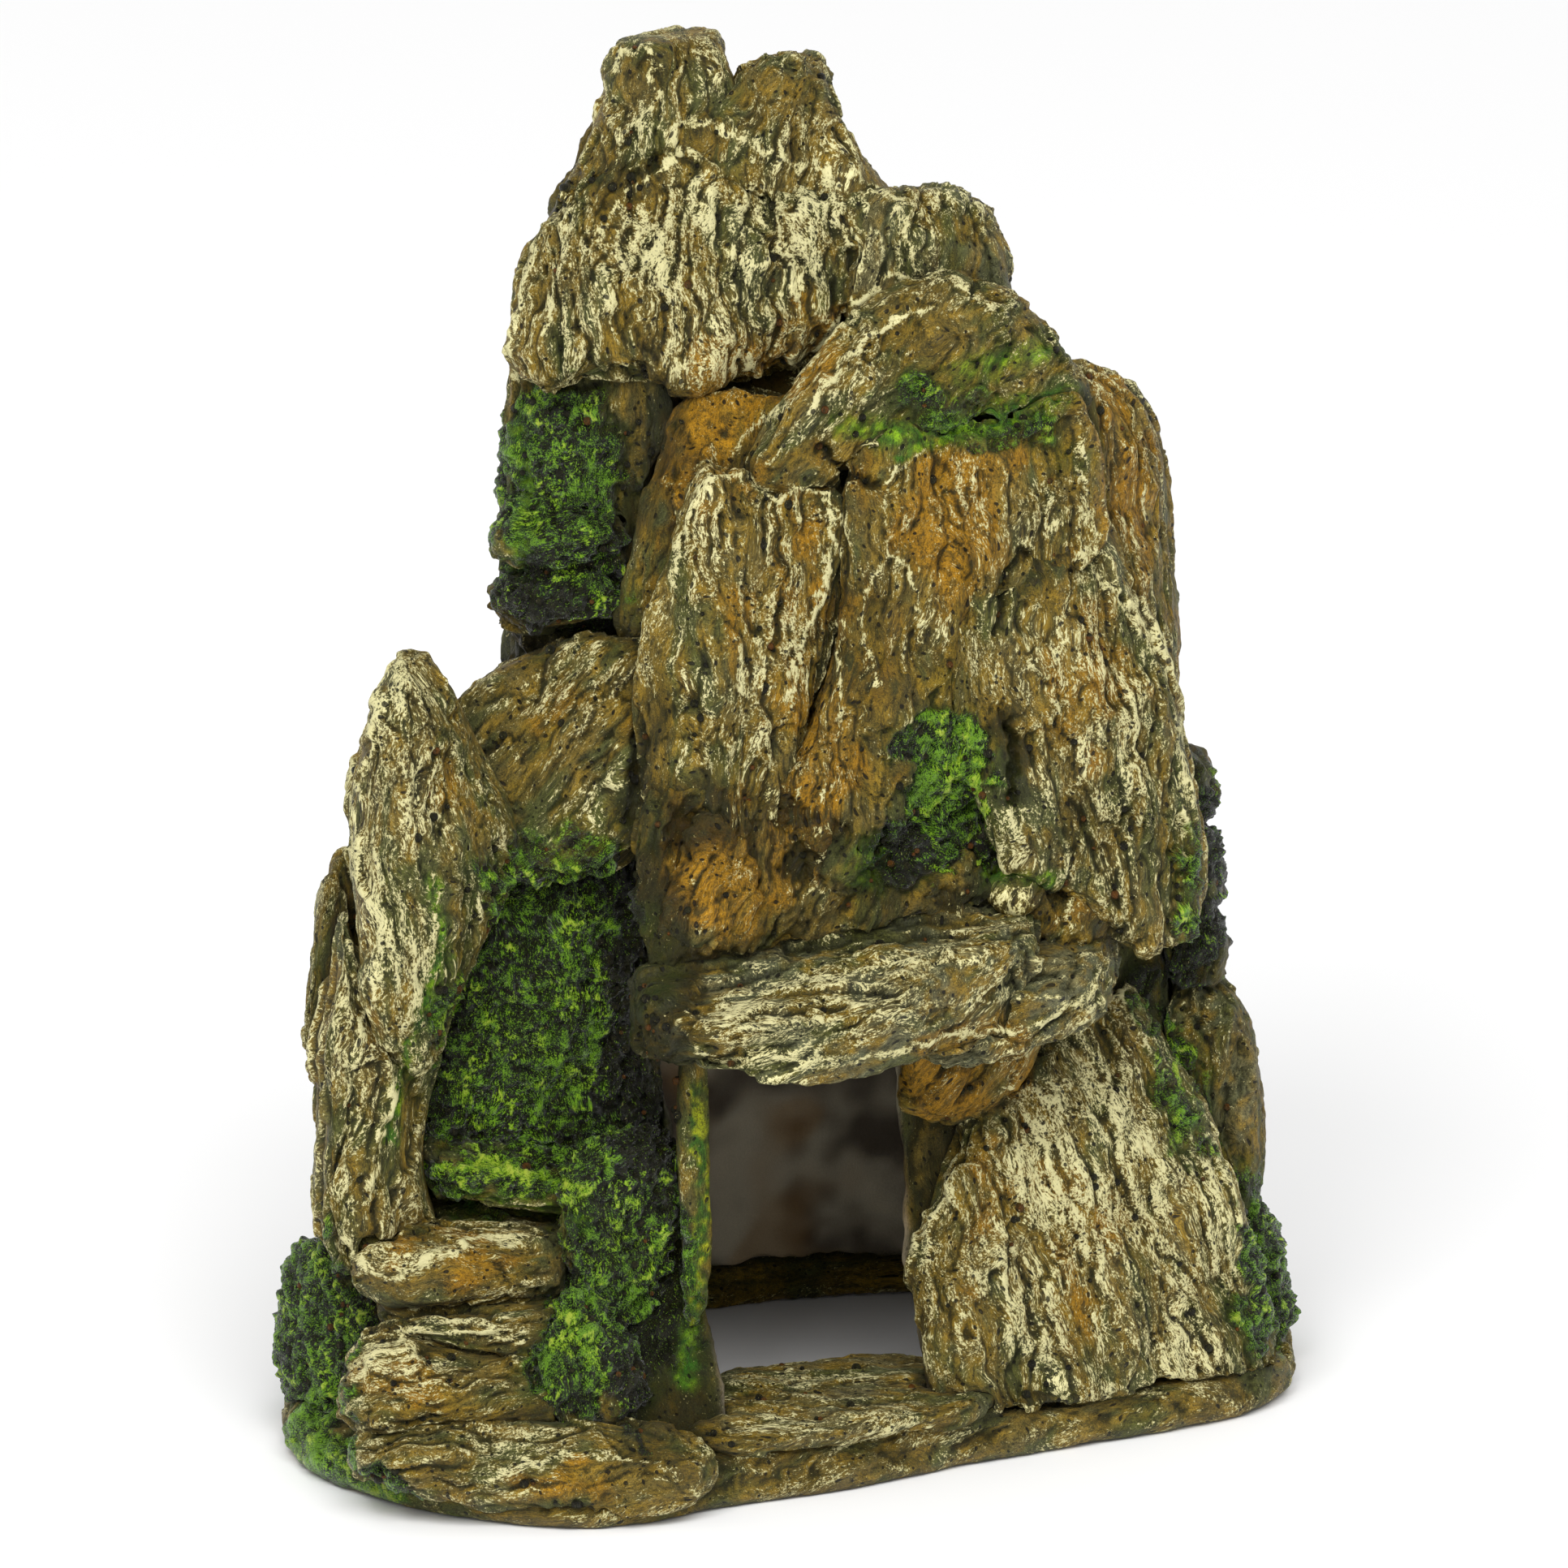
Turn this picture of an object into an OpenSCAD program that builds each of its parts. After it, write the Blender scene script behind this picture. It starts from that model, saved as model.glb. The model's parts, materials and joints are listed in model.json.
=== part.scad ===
// Hollow rock-cave aquarium ornament: slate slabs, steps, moss and a doorway
// bonded around a thin hollow core with an open underside.
// The front of the ornament faces -Y and it stands on Z = 0.

/* [Core] */
// Wall thickness of the hollow core
wall = 3; // [2.4:0.2:4]

/* [Doorway] */
// Clear width of the doorway
door_w = 29; // [24:1:31]
// Height of the doorway's head above the ground
door_top = 60; // [52:1:62]
// Height of the sill's top face
sill_h = 9; // [7:0.5:10]

/* [Base] */
// Height of the plinth ring
ring_h = 7; // [5:0.5:9]
// Width of the plinth ring's flat foot
ring_w = 7.5; // [6.5:0.5:9]

/* [Hidden] */
NODES = [
  "plinth_ring", "cave_core", "core_hood",
  "lintel_slab", "lintel_flake", "door_fin", "sill_slab", "corbel_stone", "door_boulder",
  "base_stone", "moss_mound", "step_lower", "step_lower_cap", "step_middle", "step_upper",
  "menhir", "menhir_leg", "menhir_back_flake", "saddle_slab", "moss_panel", "gully_wall",
  "face_foot_knobs", "face_slab", "face_wedge", "face_right_slab", "ledge_slab", "moss_patch", "face_apron",
  "neck_slab", "dome_slab", "shoulder_column",
  "column_ledges", "column_upper", "column_foot",
  "summit_brow", "summit_horn_left", "summit_horn_right", "summit_shoulder", "summit_rear_flake",
  "rear_boulder", "moss_clump_right", "moss_tuft_right", "moss_apron_left",
  "back_slab_left", "back_slab_middle", "back_slab_right", "back_slab_upper", "back_foot_stones"
];
turn = 25; // the elevation drawing looks at the front from 25 degrees to one side
tilt = 18; // and from 18 degrees above the horizon
st = sin(tilt);
ct = cos(tilt);
front = 45; // distance from the drawing's datum to the foremost point of the base

// ---- list helpers
function sum(l, i = 0) = i >= len(l) ? [for (k = l[0]) 0] : l[i] + sum(l, i + 1);
function mean(l) = sum(l) / len(l);
// outline put in counter-clockwise order
function area2(o) = sum([for (i = [0:len(o) - 1]) let (a = o[i], b = o[(i + 1) % len(o)]) [a[0] * b[1] - a[1] * b[0]]])[0];
function ccw(o) = area2(o) > 0 ? o : [for (i = [len(o) - 1:-1:0]) o[i]];
// one corner-cutting pass: two points for every outline point
function soft(l) = let (o = ccw(l)) [for (i = [0:len(o) - 1]) for (t = [0.25, 0.75]) o[i] * (1 - t) + o[(i + 1) % len(o)] * t];
// outline drawn in by d
function shrink(o, d) = [for (i = [0:len(o) - 1])
  let (a = o[(i + len(o) - 1) % len(o)], b = o[(i + 1) % len(o)], t = (b - a) / norm(b - a)) o[i] + d * [-t[1], t[0]]];
// height on the upright axis of a point drawn at v on the tilted elevation, at depth y
function zof(v, y) = (v - (y + front) * st) / ct;
// small repeatable unevenness
function wob(i, s) = sin(i * 77 + s * 131) * 0.6 + sin(i * 143 + s * 57) * 0.4;

// closed solid from rings that run clockwise seen from the far end, with a pole at each end
module rise(rings, first, last) loft([for (r = rings) [for (i = [len(r) - 1:-1:0]) r[i]]], first, last);
module loft(rings, first, last) {
  n = len(rings[0]);
  m = len(rings);
  pts = concat([first], [for (r = rings) for (p = r) p], [last]);
  end = m * n + 1;
  polyhedron(points = pts, faces = concat(
    [for (i = [0:n - 1]) [0, 1 + (i + 1) % n, 1 + i]],
    [for (k = [0:m - 2]) for (i = [0:n - 1]) [1 + k * n + i, 1 + k * n + (i + 1) % n, 1 + (k + 1) * n + i]],
    [for (k = [0:m - 2]) for (i = [0:n - 1]) [1 + k * n + (i + 1) % n, 1 + (k + 1) * n + (i + 1) % n, 1 + (k + 1) * n + i]],
    [for (i = [0:n - 1]) [end, 1 + (m - 1) * n + i, 1 + (m - 1) * n + (i + 1) % n]]
  ));
}

// Upright stone drawn on the tilted elevation. o: outline [x, v], counter-clockwise seen from the front.
// y0: depth of the face at the outline's middle, kx and kv: how the face recedes sideways and upward,
// th: thickness, dome: how far the face swells, edge: rounding.
module stone(o, y0, kx = 0, kv = 0, th = 12, dome = 3, edge = 3, s = 1) {
  p = soft(o);
  c = mean(p);
  function face(q) = y0 + kx * (q[0] - c[0]) + kv * (q[1] - c[1]);
  function at(q, d) = [q[0], face(q) + d, zof(q[1], face(q) + d)];
  function ring(t, d) = [for (i = [0:len(p) - 1]) at(c + t * (p[i] - c), d + wob(i, s) * 0.5)];
  loft([ring(0.5, -dome * 0.8), ring(0.82, -dome * 0.35), ring(0.95, edge * 0.3), ring(1, edge), ring(0.9, th)],
    at(c, -dome), at(c, th));
}

// Stone lying flat. o: plan outline [x, y], counter-clockwise from above, z0..z1: height,
// kx and ky: how its top rises sideways and toward the back.
module bed(o, z0, z1, kx = 0, ky = 0, edge = 1.5, s = 1) {
  p = soft(o);
  c = mean(p);
  function lift(q) = kx * (q[0] - c[0]) + ky * (q[1] - c[1]);
  function ring(t, z) = [for (i = [0:len(p) - 1]) let (q = c + t * (p[i] - c)) [q[0], q[1], max(0, z + lift(q) + wob(i, s) * 0.25)]];
  rise([ring(0.94, z0), ring(1, z0 + edge), ring(1.01, z1 - edge), ring(0.95, z1), ring(0.6, z1 + 0.3)],
    [c[0], c[1], z0], [c[0], c[1], z1 + 0.4]);
}

// Upright stone facing any way. a: the way it faces about Z (0 = front), r: distance of its face from [cx, cy],
// o: outline [u, z], lean: how far it leans back per unit height.
module side(o, a, cx, cy, r, lean = 0, th = 12, dome = 3, edge = 3, s = 1) {
  p = soft(o);
  c = mean(p);
  function at(q, d) = [q[0], -r + lean * (q[1] - c[1]) + d, q[1]];
  function ring(t, d) = [for (i = [0:len(p) - 1]) at(c + t * (p[i] - c), d + wob(i, s) * 0.5)];
  translate([cx, cy, 0]) rotate([0, 0, a])
    loft([ring(0.5, -dome * 0.8), ring(0.82, -dome * 0.35), ring(0.95, edge * 0.3), ring(1, edge), ring(0.9, th)],
      at(c, -dome), at(c, th));
}

// ---- plan of the ring and the core
base_plan = [
  [-70, -10], [-67, -22], [-60, -31], [-50, -38], [-38, -43], [-27, -45], [-17, -42], [-7, -36], [4, -32], [16, -26],
  [28, -19], [42, -13], [56, -7], [67, 0], [72, 9], [72, 22], [68, 36], [57, 47], [41, 53], [22, 55], [4, 53],
  [-14, 48], [-32, 40], [-48, 29], [-61, 16], [-68, 3]
];
// outline of the core at each height
core_rows = [
  [0, [[-65, -9], [-57, -29], [-40, -38], [-26, -40], [-8, -31], [14, -22], [42, -8], [65, 4], [68, 20], [57, 41], [39, 48.5], [6, 48], [-28, 37], [-57, 16]]],
  [8, [[-64, -9], [-56, -28], [-40, -36], [-26, -38], [-8, -30], [14, -21], [42, -7], [64, 5], [67, 20], [56, 40], [39, 47.5], [6, 47], [-28, 36], [-56, 15.5]]],
  [24, [[-54, -6], [-48, -18], [-38, -22], [-24, -24], [-8, -22], [14, -14], [38, 0], [57, 10], [61, 20], [55, 38], [38, 45], [6, 44], [-27, 33], [-52, 14]]],
  [44, [[-51, 0], [-46, -4], [-36, -2], [-22, -4], [-8, -20], [14, -10], [36, 4], [53, 14], [57, 22], [53, 36], [36, 42], [6, 41], [-25, 31], [-48, 15]]],
  [62, [[-49, 2], [-44, -2], [-34, 0], [-21, -2], [-8, -17], [14, -9], [35, 4], [50, 14], [54, 21], [50, 34], [34, 40], [6, 39], [-23, 30], [-45, 15]]],
  [90, [[-44, 6], [-40, 2], [-32, 2], [-21, 0], [-10, -6], [12, -4], [32, 5], [44, 14], [47, 20], [44, 31], [28, 35], [4, 35], [-20, 28], [-39, 17]]],
  [112, [[-34, 10], [-31, 7], [-26, 6], [-19, 4], [-10, 0], [10, 0], [28, 7], [40, 14], [43, 19], [38, 28], [24, 31], [2, 31], [-15, 27], [-31, 19]]],
  [140, [[-30, 12], [-28, 10], [-23, 9], [-17, 8], [-9, 6], [8, 6], [24, 10], [33, 15], [35, 18], [32, 25], [20, 27], [0, 27], [-14, 25], [-27, 19]]],
  [165, [[-24, 13], [-22, 11], [-18, 10], [-13, 9], [-7, 9], [3, 10], [12, 12], [16, 14], [17, 16], [15, 20], [8, 22], [-2, 22], [-13, 21], [-21, 18]]]
];
core_top = 176;
module core_solid(inset, top) {
  rings = [for (r = core_rows) [for (q = shrink(soft(r[1]), inset)) [q[0], q[1], r[0]]]];
  lid = [for (q = shrink(soft(core_rows[len(core_rows) - 1][1]), inset + 1.5)) [q[0], q[1], top - 4]];
  c = mean(lid);
  rise(concat(rings, [lid]), [0, 5, 0], [c[0], c[1], top]);
}
module core_outer() core_solid(0, core_top);
module door_tunnel()
  translate([2, -13, 0]) rotate([0, 0, turn])
    translate([-door_w / 2, -40, ring_h]) cube([door_w, 62, door_top - ring_h]);

// ---- raw shapes, before neighbours are fitted to each other
module raw(i) {
  k = NODES[i];
  if (k == "lintel_slab") 
    intersection() {
      bed([[-21, -19], [-18, -28], [-8, -34], [3, -34], [13, -31], [24, -25], [32, -19], [35, -10], [34, 0], [28, 7], [14, 6], [0, 0], [-12, -6]], 55, 75.5, 0.08, 0.33, 2, 3);
      translate([-60, -60, 61]) cube([140, 90, 30]);
    }
  if (k == "lintel_flake") bed([[18, -24], [29, -21], [39, -14], [46, -5], [44, 5], [32, 8], [20, 2], [14, -10]], 62.5, 71.5, 0, 0.3, 1.6, 5);
  if (k == "door_fin") 
    stone([[-13.2, 15], [-10, 14], [-9.4, 26], [-9, 38], [-8.8, 52], [-9, 66], [-13, 68], [-14, 58], [-13.4, 46], [-13, 34], [-13.2, 24]], -22, 0.9, 0.06, 14, 0.4, 0.8, 4);
  if (k == "sill_slab") bed([[-15, -32], [-6, -37], [5, -33], [17, -27], [28, -20], [31, -12], [25, -4], [14, 0], [2, -5], [-10, -10], [-16, -20]], ring_h, sill_h + 1, 0.0, -0.03, 0.9, 6);
  if (k == "corbel_stone")
    stone([[16, 57], [22, 55], [28, 57], [33, 62], [36, 68], [28, 70], [18, 69], [13, 64]], -9, 0.4, -0.25, 16, 2, 3, 7);
  if (k == "door_boulder")
    stone([[17, 22], [16, 29], [19, 40], [22, 52], [26, 57], [31, 63], [37, 70], [43, 74], [47.5, 75], [51, 70.5], [54, 64], [58.5, 58], [62, 49],
      [65, 40], [67, 31], [69.5, 22], [69, 15.5], [60, 12], [48, 10], [33, 8], [24, 12]], -2, 0.44, 0.32, 20, 4, 3, 8);
  if (k == "base_stone") 
    stone([[-60, 9], [-52, 6], [-40, 3], [-26, 1.5], [-14, 2.5], [-8, 6], [-9, 11], [-18, 14], [-32, 15.5], [-48, 16.5], [-58, 14]], -41.5, 0.04, 0.45, 16, 2, 2.4, 9);
  if (k == "step_lower")
    stone([[-61, 17], [-57, 13], [-48, 11.5], [-38, 12], [-28, 13], [-22, 16], [-26, 22], [-32, 25], [-42, 26], [-52, 28], [-59, 25]], -35, 0.1, 0.55, 22, 3.4, 3, 10);
  if (k == "step_lower_cap") bed([[-55, -30], [-45, -34], [-34, -34], [-28, -28], [-28, -18], [-38, -12], [-50, -14], [-57, -22]], 21, 26.5, -0.02, 0.06, 1.6, 11);
  if (k == "step_middle") bed([[-60, -20], [-57, -28], [-48, -31], [-38, -29], [-29, -25], [-27, -16], [-36, -8], [-50, -8], [-58, -12]], 27, 34.5, -0.04, 0.08, 1.8, 12);
  if (k == "step_upper") bed([[-48, -16], [-44, -22], [-34, -22], [-25, -19], [-23, -12], [-30, -4], [-42, -4], [-48, -9]], 38, 43.5, -0.14, 0.1, 1.8, 13);
  if (k == "moss_mound")
    stone([[-32, 13], [-24, 13], [-18, 17], [-20, 24], [-24, 29], [-27.5, 33], [-30, 32], [-33, 26], [-36, 20]], -33, 0.2, 0.4, 20, 2.4, 2.6, 14);
  if (k == "gully_wall")
    stone([[-50, 46], [-38, 44], [-24, 44], [-14, 48], [-14, 60], [-16, 72], [-18, 84], [-18, 96], [-26, 99], [-36, 97], [-42, 86], [-46, 72], [-50, 60]], -9, 0.15, 0.12, 16, 1.6, 2, 15);
  if (k == "menhir")
    stone([[-54.5, 113], [-53, 118.5], [-50.5, 119.5], [-47.5, 118.5], [-44, 113], [-40.5, 105.5], [-36, 98], [-36, 91], [-39.5, 82], [-44, 73], [-47, 64],
      [-52, 62], [-57, 72], [-57, 82], [-58.5, 92], [-58.5, 100], [-56.5, 108]], -19, 0.35, 0.16, 22, 4.2, 3.4, 16);
  if (k == "menhir_leg")
    stone([[-58, 78], [-50, 74], [-46, 66], [-48.5, 58], [-49.5, 50], [-48, 43], [-45, 38], [-50, 34], [-58, 33], [-63, 36], [-64, 46], [-63, 58], [-64.5, 66], [-62, 76], [-60, 86]], -22, 0.5, 0.1, 20, 3, 3, 17);
  if (k == "menhir_back_flake")
    stone([[-62, 90], [-59.5, 93], [-56, 90], [-54, 74], [-54, 56], [-56, 42], [-62, 40], [-64, 50], [-65, 60], [-65.5, 70], [-64, 80]], -8, 0.9, 0.05, 18, 1.5, 2, 18);
  if (k == "saddle_slab")
    stone([[-46, 113], [-40, 117.5], [-32, 120], [-25, 122], [-17, 121], [-15, 110], [-17, 100], [-20, 92], [-30, 87], [-40, 90], [-45, 104]], -9, -0.2, 0.25, 20, 1.8, 2.2, 19);
  if (k == "face_slab") 
    stone([[-14, 136], [-12.5, 141.5], [-10, 144.5], [-6, 143.5], [-3, 141.5], [5, 141.3], [9, 139.5], [9.6, 133], [7.5, 118], [4.5, 110],
      [1.5, 103], [-2, 97], [-8, 93], [-14, 95], [-18.5, 102], [-20, 112], [-19, 122], [-16.5, 130]], -12, 0.1, 0.14, 18, 1.4, 1.4, 20);
  if (k == "face_wedge") 
    stone([[15, 132.5], [11, 130], [7, 124], [4, 115], [1, 106], [-3, 98], [0, 91], [8, 89], [15, 93], [18, 103], [18.6, 116], [17.5, 130]], -11, 0.1, 0.16, 15, 1, 1, 21);
  if (k == "ledge_slab") 
    stone([[7, 137], [9, 145], [12, 148.5], [23, 150], [31, 151.5], [36, 154.5], [40.5, 154.5], [43.5, 147], [44, 138], [40, 126], [36, 108], [26, 98], [15, 96], [7.5, 108], [6.5, 123]], -7, 0.18, 0.12, 18, 1.6, 1.4, 22);
  if (k == "face_right_slab") 
    stone([[23, 118], [25, 126], [29, 131], [35, 132.5], [38, 138], [42.5, 138], [45.5, 131], [50, 122], [53.4, 112], [55.4, 102], [57, 91], [57.5, 80],
      [52, 78], [44, 82], [35, 88], [29, 93], [25, 103]], -6, 0.4, 0.15, 20, 2, 1.8, 23);
  if (k == "face_foot_knobs") {
    stone([[-8.5, 98], [-5.5, 93.5], [-2, 86], [-4, 82], [-10, 80], [-15.5, 79], [-15, 85], [-12, 94]], -19, 0.15, 0.3, 14, 1.8, 1.6, 24);
    stone([[8, 99.5], [11, 96.5], [11.5, 88], [7, 86.5], [3, 88.5], [4.5, 95]], -15, 0.1, 0.25, 12, 1.4, 1.6, 25);
    stone([[29, 88.5], [36, 89.5], [42, 86.5], [46, 80], [40, 78], [31, 82]], -8, 0.35, 0.3, 13, 1.4, 1.6, 26);
  }
  if (k == "moss_panel")
    stone([[-31, 46], [-27, 53], [-20, 55], [-13, 53], [-11, 44], [-11, 30], [-12, 17], [-17, 13], [-23, 16], [-26, 24], [-29, 32], [-31, 39]], -23, 0.45, 0.1, 16, 1.4, 2, 57);
  if (k == "moss_patch") 
    stone([[10, 118], [18, 122], [28, 118], [33, 104], [33.5, 94], [30, 87], [25, 83], [17, 83], [10, 88], [7, 98]], -8, 0.25, 0.15, 15, 1, 1.6, 58);
  if (k == "face_apron") 
    stone([[-20, 103], [-8, 107], [8, 104], [20, 96], [30, 89], [29, 81], [4, 79], [-17, 74], [-21, 86]], -15, 0.22, 0.2, 18, 1.4, 2, 59);
  if (k == "neck_slab")
    stone([[-16, 152], [-11, 156], [-4, 156.5], [4, 154], [6, 148], [3, 142], [-3, 138], [-8, 128], [-14, 122], [-20, 121], [-22, 124], [-20, 134], [-18, 144]], -4, 0.1, 0.1, 17, 1.6, 2.4, 27);
  if (k == "dome_slab") 
    stone([[-6, 143], [-2, 150], [6, 161], [11, 166], [17, 169.5], [25, 170.5], [31.5, 168], [40, 158], [41, 153], [36, 149], [28, 146], [12, 140], [4, 140]], -3, 0.2, 0.2, 19, 2.4, 2.2, 28);
  if (k == "shoulder_column")
    stone([[37, 160], [42, 159], [48.5, 155.5], [51.5, 149], [53, 142], [53, 133], [53.8, 124], [53.8, 113], [50, 100], [42, 100], [37, 112], [36, 126], [35, 142], [35, 153]], 5, 0.5, 0.12, 21, 2.2, 2.6, 29);
  if (k == "column_upper")
    stone([[-38, 163], [-30, 166], [-20, 164], [-14, 158], [-15, 148], [-22, 121], [-30, 120], [-37, 120], [-38.5, 136], [-38.3, 150]], 2, -0.15, 0.08, 20, 2, 2.6, 30);
  if (k == "column_ledges") {
    stone([[-39.2, 134], [-36, 131], [-28, 131.5], [-21.5, 134], [-22, 138.5], [-30, 140.5], [-37, 141], [-39.2, 138.5]], -1, -0.1, 0.5, 12, 1.6, 1.4, 31);
    stone([[-40, 126], [-37.5, 122.5], [-30, 122], [-22, 125], [-22, 129], [-28, 131.5], [-34, 129.5], [-39, 129]], -3, -0.1, 0.5, 13, 1.6, 1.4, 32);
  }
  if (k == "column_foot")
    stone([[-38, 124], [-30, 125], [-22, 124], [-21, 118], [-26, 112], [-34, 112], [-37.5, 117]], 5, -0.1, 0.1, 16, 1, 2.4, 33);
  if (k == "summit_brow")
    stone([[-37, 157], [-31, 155.5], [-22, 156.5], [-14, 155.5], [-6, 156], [0, 157], [5, 162], [10, 166], [16, 169.5], [22, 171], [26, 174], [24, 178], [16, 180],
      [8, 182.5], [0, 185], [-8, 186], [-14, 191], [-20, 190], [-28, 183], [-34, 176.5], [-36.5, 168]], 3, 0.14, 0.22, 19, 3.4, 2.8, 34);
  if (k == "summit_horn_left")
    stone([[-32, 178], [-28, 184], [-25, 190], [-23.5, 195], [-22.6, 200.5], [-17.5, 202.8], [-13.5, 204], [-9, 202.4], [-7.4, 197.4], [-4, 188], [-4, 178], [-14, 170], [-28, 170]], 6.5, 0.1, 0.2, 15, 1.8, 2, 35);
  if (k == "summit_horn_right")
    stone([[-16, 180], [-13, 190], [-7.6, 196.4], [-6.2, 198.8], [-2.2, 200.4], [2.8, 201], [5.7, 197.6], [7.6, 190], [11.5, 184.2], [16, 178], [14, 170], [-4, 168], [-14, 172]], 7, 0.2, 0.2, 15, 1.8, 2, 36);
  if (k == "summit_shoulder")
    stone([[8, 162], [8, 178], [13, 183.4], [18.5, 181.2], [25.4, 180.8], [28.4, 176], [29.4, 168], [31.5, 162], [28, 154], [16, 154]], 6, 0.35, 0.16, 16, 1.8, 2.2, 37);
  if (k == "summit_rear_flake")
    stone([[-33, 174], [-29.3, 184], [-27, 190], [-24.5, 193.4], [-18, 192], [-16, 180], [-24, 172]], 16, 0, 0.1, 9, 1, 2, 38);
  if (k == "rear_boulder")
    stone([[48, 70], [52, 74], [58, 74.5], [63, 70.5], [66.2, 62], [67, 48], [64, 30], [58, 26], [50, 34], [46, 52]], 17, 0.25, 0.1, 20, 3, 4, 39);
  if (k == "moss_clump_right") {
    stone([[60, 40], [65, 44.5], [69, 40], [70, 33], [71.6, 28], [70.5, 24], [66, 21], [60, 26]], 16, 0.4, 0.1, 16, 2, 2.6, 40);
    stone([[62, 26], [69, 27], [71, 20], [70, 12], [64, 10], [60, 18]], 24, 0.3, 0, 14, 2, 2.6, 45);
  }
  if (k == "moss_tuft_right") {
    stone([[53, 104], [56, 106.5], [58.5, 103.5], [59.5, 100], [57.5, 95.5], [53, 95]], 18, 0.3, 0, 10, 1.6, 2, 41);
    stone([[54, 92], [58, 96], [60.6, 93], [61, 87], [59, 84], [61.6, 80], [62, 75], [57, 72], [52, 76]], 18, 0.3, 0, 12, 1.6, 2, 42);
  }
  if (k == "moss_apron_left")
    stone([[-70, 26], [-69, 33], [-66, 38.5], [-60, 38], [-54, 33], [-53, 22], [-52, 10], [-52, 4], [-58, 5], [-64, 9], [-69, 14]], -16, -0.75, 0.25, 20, 2.6, 3, 43);
  if (k == "back_slab_left") side([[-20, 2], [0, 0.5], [17, 2], [21, 22], [19, 48], [15, 74], [9, 92], [0, 99], [-12, 93], [-20, 70], [-24, 40], [-24, 18]], -118, -22, 10, 26, 0.1, 20, 4, 4, 50);
  if (k == "back_slab_middle") side([[-24, 2], [-8, 0.5], [10, 0.5], [26, 3], [30, 30], [26, 62], [20, 92], [8, 116], [-4, 122], [-14, 110], [-22, 80], [-28, 40]], -155, 2, 16, 24, 0.11, 22, 4, 4, 51);
  if (k == "back_slab_right") side([[-18, 2], [0, 0.5], [18, 2], [24, 30], [22, 60], [16, 96], [8, 124], [-4, 132], [-12, 120], [-17, 84], [-20, 44], [-20, 20]], 150, 26, 16, 27, 0.1, 22, 4, 4, 52);
  if (k == "back_slab_upper") side([[-22, 92], [-4, 84], [14, 90], [22, 106], [20, 134], [10, 166], [-2, 184], [-10, 186], [-21, 154], [-26, 118]], -162, -4, 14, 17, 0.05, 16, 3, 4, 53);
  if (k == "back_foot_stones") {
    side([[-16, 1], [15, 1], [18, 10], [8, 23], [-8, 22], [-17, 11]], -140, -12, 14, 26, 0.3, 16, 3, 3, 54);
    side([[-10, 1], [14, 1], [15, 14], [6, 27], [-8, 22], [-12, 10]], 172, 20, 16, 31, 0.25, 16, 3, 3, 55);
    side([[-14, 1], [12, 1], [15, 12], [6, 28], [-6, 30], [-13, 18]], 122, 28, 16, 38, 0.25, 16, 3, 3, 56);
  }
}

module above_ground() translate([-100, -100, 0.6]) cube([200, 200, 240]);

// the plinth: a low ring that carries the stones, with the open underside inside it
module plinth_solid() {
  p = soft(base_plan);
  c = mean(p);
  function ring(t, z) = [for (q = p) let (r = c + t * (q - c)) [r[0], r[1], z]];
  rise([ring(0.975, 0), ring(1, 1.5), ring(0.995, ring_h - 2), ring(0.965, ring_h)], [c[0], c[1], 0], [c[0], c[1], ring_h]);
}
module plinth_ring() color([0.36, 0.33, 0.16]) difference() {
  plinth_solid();
  translate([0, 0, -20]) rise([
    [for (q = shrink(soft(base_plan), ring_w)) [q[0], q[1], 10]], [for (q = shrink(soft(base_plan), ring_w)) [q[0], q[1], 40]]
  ], [0, 3, 10], [0, 3, 40]);
}
// the hollow core is closed at the top, open below, and made in two bands that meet over the doorway
split_z = 66;
module core_shell() difference() {
  core_outer();
  core_solid(wall, core_top - wall);
  translate([-100, -100, -5]) cube([200, 200, 5 + ring_h]);
  door_tunnel();
}
module cave_core() color([0.34, 0.31, 0.24]) resize([0, 0, 0]) intersection() {
  core_shell();
  translate([-100, -100, 0]) cube([200, 200, split_z]);
}
module core_hood() color([0.30, 0.28, 0.22]) resize([0, 0, 0]) intersection() {
  core_shell();
  translate([-100, -100, split_z]) cube([200, 200, 200]);
}

// a stone fitted against the ring, the core and every stone set before it
module fitted(i, col) color(col) resize([0, 0, 0]) intersection() {
  difference() {
    raw(i);
    plinth_solid();
    if (NODES[i] == "sill_slab") cave_core();
    else {
      core_outer();
      door_tunnel();
    }
    for (j = [3:1:i - 1]) raw(j);
  }
  above_ground();
}

ochre = [0.55, 0.40, 0.18];
olive = [0.42, 0.38, 0.22];
moss = [0.22, 0.42, 0.10];
function is_moss(n) = n[0] == "m" && n[1] == "o" && n[2] == "s";
// the finished frame: cave front square to -Y, origin under the middle of the overall box
module turned() translate([-3.69, -10.31, 0]) rotate([0, 0, -turn]) children();

for (i = [0:len(NODES) - 1])
  turned() {
      if (i == 0) plinth_ring();
      if (i == 1) cave_core();
      if (i == 2) core_hood();
      if (i > 2) fitted(i, is_moss(NODES[i]) ? moss : i % 3 == 0 ? olive : ochre);
    }
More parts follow.
